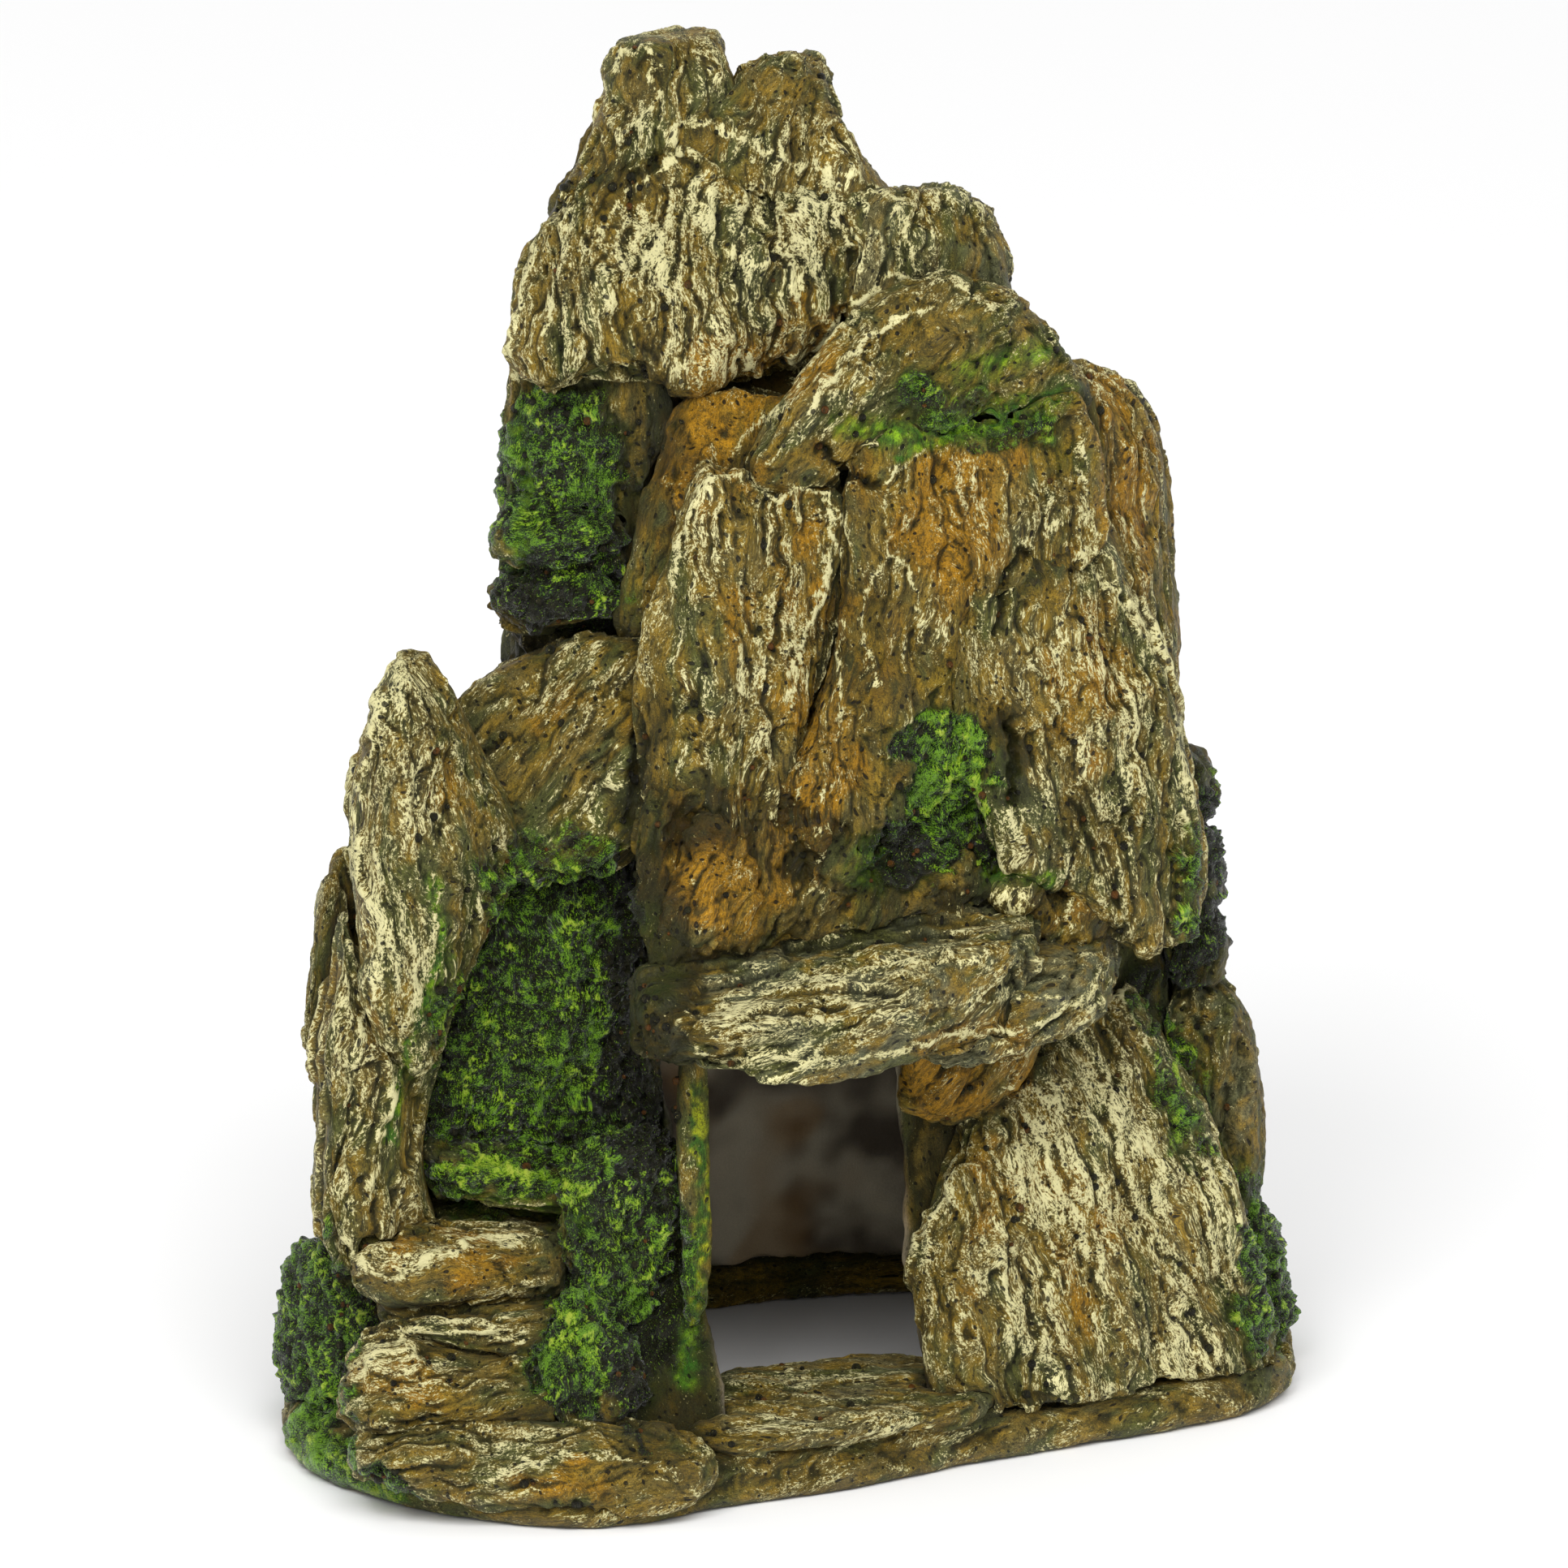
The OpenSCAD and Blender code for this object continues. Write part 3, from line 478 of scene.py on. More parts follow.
# raised edges brushed with cream
EDGES = [
    (7, 1.0, [(834, 731), (843, 657), (866, 611), (889, 586), (929, 600), (957, 614), (1009, 611), (1026, 634), (1029, 674), (1017, 726), (997, 771), (980, 823), (966, 880)]),
    (6, 0.9, [(1134, 560), (1094, 589), (1089, 634), (1094, 683), (1071, 726), (1057, 766), (1066, 806), (1077, 846)]),
    (5, 0.9, [(1094, 689), (1117, 697), (1129, 731), (1134, 789)]),
    (6, 0.7, [(1042, 769), (1029, 800), (1037, 880), (1031, 914)]),
    (8, 1.0, [(1294, 663), (1306, 651), (1329, 629), (1346, 663), (1329, 691), (1357, 714), (1391, 749), (1420, 789), (1443, 857), (1460, 937), (1466, 1006), (1477, 1063)]),
    (10, 0.7, [(1334, 714), (1306, 766), (1294, 834), (1300, 880)]),
    (8, 0.6, [(1346, 857), (1340, 926), (1323, 983)]),
    (7, 1.0, [(797, 1234), (837, 1251), (854, 1297), (889, 1314), (940, 1297), (1009, 1309), (1066, 1309), (1123, 1291), (1203, 1274), (1260, 1269), (1300, 1246), (1334, 1223), (1351, 1194)]),
    (6, 0.8, [(974, 1194), (1043, 1183), (1100, 1177), (1157, 1183), (1214, 1189), (1249, 1223)]),
    (6, 0.8, [(843, 1240), (929, 1234), (1020, 1240), (1100, 1246), (1191, 1234), (1249, 1229)]),
    (6, 0.8, [(1369, 1206), (1391, 1229), (1414, 1274), (1437, 1320), (1460, 1360), (1480, 1430)]),
    (6, 0.6, [(1369, 1206), (1317, 1263), (1271, 1297), (1237, 1349)]),
    (9, 1.0, [(760, 100), (803, 71), (809, 134), (786, 163)]),
    (8, 0.9, [(837, 163), (877, 169), (923, 186), (986, 214), (1054, 226), (1123, 254)]),
    (9, 0.9, [(834, 163), (831, 209), (803, 231), (763, 260), (743, 306)]),
    (10, 0.8, [(797, 249), (786, 306), (757, 363), (760, 391)]),
    (7, 0.9, [(694, 311), (683, 363), (677, 420)]),
    (8, 1.0, [(655, 310), (643, 351), (631, 409), (626, 477)]),
    (12, 0.8, [(866, 266), (889, 317), (929, 340), (974, 306)]),
    (11, 0.8, [(929, 249), (957, 306), (991, 340), (986, 374)]),
    (8, 0.8, [(1106, 266), (1117, 306), (1123, 340)]),
    (8, 0.8, [(986, 220), (1020, 214), (1031, 260), (1054, 317)]),
    (9, 1.0, [(980, 471), (1009, 437), (1054, 386), (1089, 357), (1123, 349), (1169, 351), (1220, 386)]),
    (7, 0.9, [(997, 517), (1031, 460), (1071, 420), (1117, 397), (1151, 391)]),
    (7, 0.8, [(900, 569), (929, 529), (974, 506), (986, 477)]),
    (7, 0.7, [(1329, 466), (1363, 471), (1409, 506)]),
    (7, 0.8, [(1334, 517), (1329, 580), (1340, 637)]),
    (7, 0.8, [(433, 1000), (436, 1065), (469, 1123), (485, 1155)]),
    (8, 0.8, [(549, 1084), (536, 1194), (498, 1271), (491, 1361), (472, 1426), (459, 1490)]),
    (7, 0.7, [(459, 1090), (491, 1168), (459, 1258), (440, 1361), (436, 1452)]),
    (7, 0.9, [(480, 820), (470, 900), (440, 960), (433, 1000)]),
    (9, 1.0, [(440, 1542), (478, 1574), (543, 1548), (588, 1523), (665, 1526)]),
    (10, 1.0, [(427, 1697), (478, 1645), (543, 1632), (640, 1645)]),
    (7, 0.8, [(607, 1819), (653, 1794), (730, 1781), (807, 1794), (859, 1832)]),
    (7, 0.8, [(1027, 1787), (1091, 1761), (1150, 1755)]),
    (6, 0.5, [(1030, 960), (1000, 1000), (1010, 1060)]),
]
# moss drawn along ledges and the fin's edge
SPRIGS = [
    (9, 1.0, [(543, 1439), (601, 1432), (678, 1452), (730, 1465)]),
    (8, 1.0, [(1190, 890), (1180, 950), (1165, 985), (1130, 1010), (1150, 1040)]),
    (8, 1.0, [(1200, 960), (1215, 1000), (1190, 1040)]),
    (6, 0.7, [(1090, 1010), (1120, 1050), (1170, 1080)]),
    (7, 0.8, [(676, 1600), (720, 1650), (760, 1720), (800, 1780)]),
    (8, 0.9, [(1440, 1250), (1460, 1300), (1462, 1350)]),
]
# green rubbed softly over bare stone
RUBBED = [
    (20, 0.9, [(1040, 535), (1134, 548), (1214, 530), (1260, 508), (1306, 494)]),
    (9, 1.0, [(1100, 570), (1150, 545), (1230, 530), (1290, 498)]),
    (22, 0.6, [(1180, 470), (1240, 450), (1290, 440)]),
    (13, 1.4, [(858, 1340), (862, 1419), (872, 1465), (862, 1548), (852, 1645), (849, 1697)]),
    (12, 0.9, [(540, 1090), (550, 1160), (530, 1240), (505, 1300), (490, 1400)]),
    (12, 0.8, [(1215, 1085), (1260, 1082), (1300, 1080)]),
    (14, 0.8, [(640, 520), (650, 600), (640, 700)]),
    (16, 0.6, [(560, 1480), (640, 1485), (720, 1500)]),
    (14, 0.6, [(430, 1860), (500, 1880), (560, 1870)]),
    (26, 0.5, [(1060, 1080), (1070, 1050)]),
]
# lumps raised and hollows sunk in the stones above the lintel, same units as the painted areas; the hollows are also
# darkened with painted shade
LUMPS = [
    (895, 1050, 36, 72, 20, 1.0), (940, 1130, 52, 36, -20, 1.0), (862, 1120, 32, 56, 15, 0.8), (1035, 1040, 34, 50, 0, 1.0), (1250, 1110, 50, 26, 10, 0.8),
    (1000, 1110, 28, 24, 0, 0.7), (1330, 1130, 40, 24, 20, 0.6),
]
HOLLOWS = [
    (845, 1018, 20, 40, 20, 1.0), (985, 1065, 18, 30, 0, 1.0), (925, 1032, 12, 25, 0, 0.8), (1088, 1062, 22, 34, 0, 0.8), (900, 1182, 60, 12, -10, 0.7),
    (972, 1010, 18, 22, 0, 0.7), (1180, 1110, 34, 18, 0, 0.7),
]
# slots cut into the stones and darkened inside with painted shadow
CUTS = [
    (7, 1.0, [(1243, 895), (1247, 940), (1243, 985)]),
    (9, 0.8, [(786, 880), (790, 950), (775, 1010)]),
    (9, 0.7, [(1010, 560), (1040, 590), (1075, 600)]),
    (8, 0.7, [(1265, 690), (1240, 720), (1230, 780)]),
]


C_OCHRE = srgb(158, 128, 40)
C_ORANGE = srgb(186, 134, 22)
C_BROWN = srgb(118, 98, 34)
C_OLIVE = srgb(92, 94, 40)
C_GREY = srgb(120, 122, 92)
C_DARK = srgb(24, 25, 10)
C_BLACK = srgb(9, 9, 6)


def mix(a, b, t):
    t = np.asarray(t)[:, None]
    return a * (1 - t) + b * t


def ball_template(n=4):
    """all-quad sphere made from a cube"""
    idx, pts, quads = {}, [], []

    def vert(p):
        key = tuple(np.round(p, 5))
        if key not in idx:
            idx[key] = len(pts)
            pts.append(p / np.linalg.norm(p))
        return idx[key]

    for ax in range(3):
        for sg in (-1, 1):
            for i in range(n):
                for j in range(n):
                    q = []
                    for di, dj in ((0, 0), (1, 0), (1, 1), (0, 1)):
                        p = np.zeros(3)
                        p[ax], p[(ax + 1) % 3], p[(ax + 2) % 3] = sg, -1 + 2 * (i + di) / n, -1 + 2 * (j + dj) / n
                        q.append(vert(p))
                    quads.append(q if sg > 0 else q[::-1])
    return np.array(pts), np.array(quads)


BALL_V, BALL_Q = ball_template()
box_lo, box_hi = np.array(cad_lo) * 1000 + 0.05, np.array(cad_hi) * 1000 - 0.05


def kept_in(v):
    """ease the outermost millimetre and a half back inside the design's box"""
    m = 1.6
    for ax in range(3):
        t = np.maximum(v[:, ax] - (box_hi[ax] - m), 0)
        v[:, ax] = np.where(t > 0, box_hi[ax] - m + m * (1 - np.exp(-t / m)), v[:, ax])
        if ax < 2:
            t = np.maximum(box_lo[ax] + m - v[:, ax], 0)
            v[:, ax] = np.where(t > 0, box_lo[ax] + m - m * (1 - np.exp(-t / m)), v[:, ax])
    return v


view = np.array([0, math.cos(TILT), -math.sin(TILT)])  # the way the elevation is looked at
made = []
for name, s in skins.items():
    k = s.k
    core = name in ("cave_core", "core_hood")
    n0 = s.normals()
    nd = vec_to_draw(n0)
    h = rock_relief(s)
    d = to_draw(s.v)
    X, V = elevation(d)
    seen = sstep(-0.25, 0.25, -(nd @ view))
    wob = (40 * fbm(d / 7.0, 3, 901), 40 * fbm(d / 7.0, 3, 902))
    fine_wob = (9 * fbm(d / 2.4, 2, 903), 9 * fbm(d / 2.4, 2, 904))
    zone = painted(MOSS, X, V, wob)
    sprig = drawn(SPRIGS, X, V, fine_wob) * seen
    edge = drawn(EDGES, X, V, fine_wob) * seen
    cut = drawn(CUTS, X, V, fine_wob) * seen
    rubbed = drawn(RUBBED, X, V, fine_wob) * seen
    lump, hollow = np.zeros(len(X)), np.zeros(len(X))
    if name in ("face_apron", "face_foot_knobs", "moss_patch", "face_wedge", "face_slab", "gully_wall"):
        few = (fine_wob[0] * 1.4, fine_wob[1] * 1.4)
        lump, hollow = painted(LUMPS, X, V, few) * seen, painted(HOLLOWS, X, V, few) * seen
    moss = np.clip(np.maximum(zone * seen, 0) + (k["moss"] - 0.5) * 0.9, 0, 1)
    blot = fbm(d / 4.2, 3, 911)
    moss = sstep(0.25, 0.62, moss + 0.28 * blot)
    if k["moss"] < 0.1:
        moss = moss * sstep(0.45, 0.9, zone)
    mh = moss_relief(s, 500)
    inside = np.zeros(len(s.v))
    if core:
        # the cavity side of the shell: towards the middle of the plan
        out = n0[:, 0] * (s.v[:, 0] - 0) + n0[:, 1] * (s.v[:, 1] - 2) + n0[:, 2] * (s.v[:, 2] - 60) * 0.4
        inside = sstep(0.5, -0.5, out)
        inside = s.smooth(inside, 3)
        moss = moss * (1 - inside)
        h = h * (1 - inside) + inside * (1.5 * fbm(d / 13.0, 3, 77) + 0.35 * fbm(d / 4.0, 2, 78))
    disp = h * (1 - 0.75 * moss) + (mh - 0.75) * moss * 1.0 + 0.3 * edge * (1 - moss) - 2.4 * cut
    disp = np.clip(disp + 1.3 * lump - 1.9 * hollow, -3.4, 2.8) - 0.15
    if name == "door_fin":
        disp *= 0.5
    if not core:
        # sides turned to the core stay on it, so that nothing comes through the shell
        away = s.v[:, :2] - np.array([0.0, 2.0])
        away /= np.linalg.norm(away, axis=1)[:, None] + 1e-9
        inward = sstep(-0.5, -0.85, (n0[:, :2] * away).sum(1))
        disp = disp * (1 - inward) - 0.8 * inward
    foot = sstep(1.2, 3.5, s.v[:, 2])
    s.v = s.v + n0 * (disp * (0.25 + 0.75 * foot))[:, None]
    s.v = s.smooth(s.v, 1) * 0.6 + s.v * 0.4
    s.v = kept_in(s.v)
    s.v[:, 2] = np.maximum(s.v[:, 2], 0.0 if name == "plinth_ring" else 0.25)
    n1 = s.normals()
    # relief seen at three scales: how far each point stands over its smoothed surroundings
    p = s.v
    q1 = s.smooth(p, 3)
    q2 = s.smooth(q1, 12)
    q3 = s.smooth(q2, 50)
    nn = s.smooth(n1, 6)
    nn /= np.linalg.norm(nn, axis=1)[:, None] + 1e-9
    r1 = np.einsum("ij,ij->i", p - q1, n1)
    r2 = np.einsum("ij,ij->i", p - q2, nn)
    r3 = np.einsum("ij,ij->i", p - q3, nn)
    # where other stones come close: painted shade, scaled by each stone's seam strength
    near = sstep(0.5, 1.9, s.near) * k["seam_shade"]
    # ---- paint
    b1 = fbm(d / 9.0, 3, s.seed + 41)
    b2 = fbm(s.g / np.array([2.6, 2.6, 9.0]), 3, s.seed + 42)
    b3 = noise(s.g / np.array([0.9, 0.9, 3.2]), s.seed + 43)
    b4 = fbm(s.g / np.array([4.5, 4.5, 14.0]), 2, s.seed + 44)
    orange = np.clip(painted(ORANGE, X, V, wob) * seen * 0.9 + (k["orange"] - 0.4) * 0.9 + 0.5 * b1 + 0.3 * b4, 0, 1.2)
    # painted shadow: the dark spots plus each stone's own amount
    painted_shade = np.clip(painted(SHADOW_SPOTS, X, V, wob) * seen + (k["painted_shade"] - 0.2), 0, 1.2)
    col = mix(C_OCHRE, C_BROWN, sstep(-0.45, 0.35, b2 + 0.3 * b3))
    col = mix(col, C_OLIVE, sstep(-0.1, 0.6, b4 + 0.35 * b3 + 0.15 - 0.3 * orange))
    col = mix(col, C_GREY, np.clip(k["grey"] * sstep(-0.3, 0.5, -b1 + 0.5 * b3), 0, 1) * 0.85)
    col = mix(col, C_ORANGE, sstep(0.35, 1.0, orange + 0.35 * b2) * 0.78)
    # darker in recesses and splits, partly the ornament's own dark wash and partly painted shade; where other stones
    # come close, in the dark spots, slots and hollows it is painted shade
    cav = sstep(-0.01, -0.28, r2) * 0.7 + sstep(-0.1, -0.8, r3) * 0.45 + sstep(-0.01, -0.07, r1) * 0.35 + 0.35 * s.split
    wash_and_shade = np.clip(cav + 0.75 * near + 0.8 * painted_shade + 1.2 * cut + 0.9 * hollow + 0.12 * b3, 0, 1)
    col = mix(col, C_DARK, wash_and_shade * 0.88)
    cz = painted(CREAM, X, V, wob) * seen + 0.35 * lump
    top = sstep(0.2, 0.9, nd[:, 2])
    ridge = sstep(0.03, 0.26, r2) * 0.6 + sstep(0.015, 0.09, r1) * 0.5 + 0.4 * s.lip
    some = sstep(-0.25, 0.45, fbm(d / 5.0, 2, s.seed + 47) + (k["cream"] - 0.5) * 0.8 + 0.5 * cz)
    broken = sstep(-0.55, 0.35, fbm(d / 1.7, 3, s.seed + 48))
    line = np.clip(ridge * some * 0.56 + edge * (0.35 + 0.6 * broken) - 0.6 * painted_shade, 0, 1.4) * (1 - 0.8 * moss)
    dry = 0.07 - (0.07 if name.startswith("summit_") else 0.0) + 0.34 * sstep(-0.35, 0.5, fbm(s.g / np.array([6.0, 6.0, 14.0]), 3, s.seed + 45)) + (k["cream"] - 0.5) * 0.45 + cz * 0.45 + 0.22 * s.vein + 0.2 * sstep(-0.02, 0.12, r2) - 0.6 * near - 0.5 * painted_shade - 0.4 * wash_and_shade + 0.1 * top + 0.2 * edge
    dry = np.clip(dry, 0, 1.2) * (1 - 0.85 * moss)
    # moss colour: how much green, how much lime
    up = sstep(-0.12, 0.3, r2)
    green = 0.58 * sstep(-0.25, 0.5, fbm(d / 3.0, 4, 921)) + 0.5 * up + 0.35 * (zone - 0.7) - 1.3 * painted_shade - 0.2 * near + 0.5 * sprig + 0.05
    branch = 1 - np.abs(noise(d / np.array([1.5, 1.5, 1.9]), 931)) * 2.4
    lime = sstep(0.1, 0.85, branch) * sstep(-0.2, 0.5, fbm(d / 4.0, 2, 923)) * (0.35 + 0.65 * up) * 1.0 + 0.6 * sprig - 0.3 * near - 0.8 * painted_shade + 0.1
    moss = np.maximum(moss, sstep(0.25, 0.7, sprig))
    grit = np.clip(s.grit, 0, 1)
    col = mix(col, mix(np.tile(C_BLACK, (len(X), 1)), srgb(30, 28, 17), grit * 0.6), moss)
    # a green glaze over rock next to moss
    glaze = np.clip(zone * seen * 0.9, 0, 1) * (1 - moss) * sstep(-0.3, 0.3, b1 + 0.3)
    col = mix(col, srgb(66, 92, 20), glaze * 0.4)
    rub = np.clip(rubbed * (0.55 + 0.6 * sstep(-0.5, 0.4, fbm(d / 2.0, 3, 927))), 0, 1)
    col = mix(col, mix(np.tile(srgb(58, 112, 26), (len(X), 1)), srgb(196, 204, 30) if name == "door_fin" else srgb(148, 196, 34), sstep(-0.3 if name == "door_fin" else -0.1, 0.5, noise(d / 1.2, 928) + 0.5 * noise(d / 4.0, 929))), rub * 0.85)
    dry = dry * (1 - 0.5 * rub)
    if core:
        lin = mix(srgb(186, 176, 152), srgb(84, 74, 60), sstep(-0.35, 0.4, fbm(d / 15.0, 3, 88)))
        lin = mix(lin, srgb(150, 112, 58), sstep(0.35, 0.8, fbm(d / 16.0, 2, 89) + 0.25) * 0.5)
        # painted shade on the inner edge of the wall beside the doorway
        jamb_shade = sstep(-8.6, -9.8, X) * sstep(0.0, -10.0, d[:, 1])
        lin = mix(lin, srgb(30, 28, 18), jamb_shade * 0.95)
        col = mix(col, lin, inside)
        dry, line = dry * (1 - inside), line * (1 - inside)
    gloss = np.clip(0.45 + 0.4 * moss + 0.2 * wash_and_shade - 0.5 * inside, 0, 1)
    data = {
        "paint": np.concatenate([np.clip(col, 0, 1), np.ones((len(X), 1))], 1),
        "dry": dry,
        "line": line,
        "mossy": moss,
        "green": np.clip(green, 0, 1.3),
        "lime": np.clip(lime, 0, 1.3),
        "gloss": gloss,
        "inside": inside,
        "grain": s.g,
    }
    # ---- trapped air bubbles cast as little beads
    me = s.me
    quads = np.empty(len(me.loops), np.int32)
    me.loops.foreach_get("vertex_index", quads)
    quads = quads.reshape(-1, 4)
    co = s.v
    if not core and name != "plinth_ring":
        rng = np.random.default_rng(s.seed + 5)
        want = 26 if k["moss"] > 0.4 else 16
        want = int(len(s.v) * s.area / 1500 * want)
        pick = rng.choice(len(s.v), size=min(want * 14, len(s.v)), replace=False)
        score = -(r3[pick] * 0.8) - r2[pick] + 0.3 * rng.random(len(pick)) + 0.5 * painted_shade[pick] + 0.25 * moss[pick]
        pick = pick[np.argsort(-score)[:want]]
        pick = pick[s.v[pick, 2] > 3.0]
        add_v, add_q, add_n = [], [], []
        base = len(co)
        for j, i in enumerate(pick):
            r = 0.30 + 0.42 * rng.random() ** 2.0
            c = s.v[i] + n1[i] * r * (0.05 + 0.4 * rng.random())
            add_v.append(c + BALL_V * r)
            add_q.append(BALL_Q + base + j * len(BALL_V))
            tint = srgb(24, 22, 14) if rng.random() < 0.8 else srgb(96, 58, 20)
            add_n.append(np.tile(tint, (len(BALL_V), 1)))
        if add_v:
            add_v, add_n = np.concatenate(add_v), np.concatenate(add_n)
            add_v = kept_in(add_v)
            n = len(add_v)
            co = np.concatenate([co, add_v])
            quads = np.concatenate([quads, np.concatenate(add_q)])
            data["paint"] = np.concatenate([data["paint"], np.concatenate([add_n, np.ones((n, 1))], 1)])
            for lab in ("dry", "line", "mossy", "green", "lime", "inside"):
                data[lab] = np.concatenate([data[lab], np.zeros(n)])
            data["gloss"] = np.concatenate([data["gloss"], np.ones(n)])
            data["grain"] = np.concatenate([data["grain"], to_draw(add_v)])
    new = bpy.data.meshes.new("skin_" + name)
    new.vertices.add(len(co))
    new.vertices.foreach_set("co", (co / 1000).astype(np.float32).ravel())
    new.loops.add(quads.size)
    new.loops.foreach_set("vertex_index", quads.astype(np.int32).ravel())
    new.polygons.add(len(quads))
    new.polygons.foreach_set("loop_start", np.arange(0, quads.size, 4, dtype=np.int32))
    new.update(calc_edges=True)
    new.validate()
    new.polygons.foreach_set("use_smooth", np.ones(len(new.polygons), bool))
    for lab, val in data.items():
        kind, field = ("FLOAT_COLOR", "color") if lab == "paint" else ("FLOAT_VECTOR", "vector") if lab == "grain" else ("FLOAT", "value")
        at = new.attributes.new(lab, kind, "POINT")
        at.data.foreach_set(field, np.ascontiguousarray(val, np.float32).ravel())
    bpy.data.meshes.remove(me)
    s.me = None
    ob = bpy.data.objects.new("skin_" + name, new)
    bpy.context.scene.collection.objects.link(ob)
    made.append((name, ob))
    if name in ("face_slab", "summit_brow", "gully_wall"):
        print(name, "r1", np.percentile(r1, [5, 50, 95]), "r2", np.percentile(r2, [5, 50, 95]), "r3", np.percentile(r3, [5, 50, 95]), "near", np.percentile(s.near, [10, 50, 90]))


# ---------------------------------------------------------------- material
def material(label):
    m = bpy.data.materials.new(label)
    m.use_nodes = True
    t = m.node_tree
    for n in list(t.nodes):
        t.nodes.remove(n)
    N, L = t.nodes.new, t.links.new

    def attr(a, typ="GEOMETRY"):
        n = N("ShaderNodeAttribute")
        n.attribute_type, n.attribute_name = typ, a
        return n

    def math_(op, a, b=None, c=None, clamp=False):
        n = N("ShaderNodeMath")
        n.operation, n.use_clamp = op, clamp
        for i, x in enumerate((a, b, c)):
            if x is None:
                continue
            if hasattr(x, "is_linked") or hasattr(x, "node"):
                L(x, n.inputs[i])
            else:
                n.inputs[i].default_value = x
        return n.outputs[0]

    def nz(vec, scale, detail=2, rough=0.5, stretch=None):
        src = vec
        if stretch:
            mp = N("ShaderNodeVectorMath")
            mp.operation = "MULTIPLY"
            L(vec, mp.inputs[0])
            mp.inputs[1].default_value = stretch
            src = mp.outputs[0]
        n = N("ShaderNodeTexNoise")
        n.inputs["Scale"].default_value = scale
        n.inputs["Detail"].default_value = detail
        n.inputs["Roughness"].default_value = rough
        L(src, n.inputs["Vector"])
        return n.outputs["Fac"]

    def mixc(a, b, f):
        n = N("ShaderNodeMix")
        n.data_type = "RGBA"
        if hasattr(f, "node"):
            L(f, n.inputs[0])
        else:
            n.inputs[0].default_value = f
        for x, i in ((a, 6), (b, 7)):
            if hasattr(x, "node"):
                L(x, n.inputs[i])
            else:
                n.inputs[i].default_value = (*x, 1)
        return n.outputs[2]

    def ramp(x, a, b):
        n = N("ShaderNodeMapRange")
        n.interpolation_type = "SMOOTHSTEP"
        n.inputs["From Min"].default_value = a
        n.inputs["From Max"].default_value = b
        L(x, n.inputs["Value"])
        return n.outputs["Result"]

    grain = attr("grain").outputs["Vector"]
    paint = attr("paint").outputs["Color"]
    dry = attr("dry").outputs["Fac"]
    line = attr("line").outputs["Fac"]
    mossy = attr("mossy").outputs["Fac"]
    green = attr("green").outputs["Fac"]
    lime = attr("lime").outputs["Fac"]
    gloss = attr("gloss").outputs["Fac"]
    inside = attr("inside").outputs["Fac"]
    speck = nz(grain, 3.6, 4, 0.8, (1, 1, 0.5))
    fibre = nz(grain, 2.1, 3, 0.7, (1, 1, 0.2))
    streak = nz(grain, 0.8, 3, 0.6, (1, 1, 0.16))
    grit = nz(grain, 5.5, 3, 0.78)
    mott = nz(grain, 1.2, 6, 0.85, (1, 1, 0.45))
    rock = math_("SUBTRACT", 1.0, inside)
    # ground colour, mottled with dark olive, streaked and pitted
    low = ramp(mott, 0.45, 0.60)
    low = math_("MULTIPLY", math_("MULTIPLY", low, 0.74), rock)
    col = mixc(paint, tuple(srgb(48, 48, 20)), low)
    hair = math_("MULTIPLY", ramp(math_("SUBTRACT", 1.0, fibre), 0.56, 0.66), math_("MULTIPLY", rock, 0.6))
    col = mixc(col, tuple(srgb(34, 31, 16)), hair)
    tone = math_("MULTIPLY_ADD", grit, 3.0, -0.42)
    toned = N("ShaderNodeMix")
    toned.data_type, toned.blend_type = "RGBA", "MULTIPLY"
    L(math_("MULTIPLY_ADD", inside, -0.8, 1.0), toned.inputs[0])
    L(col, toned.inputs[6])
    comb = N("ShaderNodeCombineColor")
    for i in range(3):
        L(tone, comb.inputs[i])
    L(comb.outputs[0], toned.inputs[7])
    pit = math_("MULTIPLY", ramp(math_("SUBTRACT", 1.0, speck), 0.56, 0.64), rock)
    # round blow-holes
    vor = N("ShaderNodeTexVoronoi")
    vor.inputs["Scale"].default_value = 0.62
    L(grain, vor.inputs["Vector"])
    hole = ramp(math_("SUBTRACT", 1.0, vor.outputs["Distance"]), 0.80, 0.86)
    hole = math_("MULTIPLY", hole, rock)
    pit = math_("MAXIMUM", math_("MULTIPLY", pit, 0.8), hole)
    col = mixc(toned.outputs[2], tuple(srgb(20, 18, 9)), math_("MULTIPLY", pit, 0.92))
    # dry-brushed cream: fine flecks, and fuller strokes along the edges
    a = math_("MULTIPLY_ADD", speck, 3.5, -1.75)
    b = math_("MULTIPLY_ADD", streak, 0.6, -0.3)
    b = math_("ADD", b, math_("MULTIPLY_ADD", fibre, 1.0, -0.5))
    fine = math_("ADD", a, b)
    c = math_("ADD", fine, dry)
    brush = ramp(c, 0.64, 0.76)
    e = math_("ADD", math_("MULTIPLY", fine, 1.0), line)
    stroke = ramp(e, 0.52, 0.66)
    brush = math_("MAXIMUM", brush, stroke)
    brush = math_("MULTIPLY", brush, math_("MULTIPLY", rock, 0.95))
    brush = math_("MULTIPLY", brush, math_("SUBTRACT", 1.0, math_("MULTIPLY", hole, 0.9)))
    cream = mixc(tuple(srgb(194, 182, 114)), tuple(srgb(246, 238, 178)), ramp(math_("MAXIMUM", c, e), 0.62, 0.92))
    col = mixc(col, cream, brush)
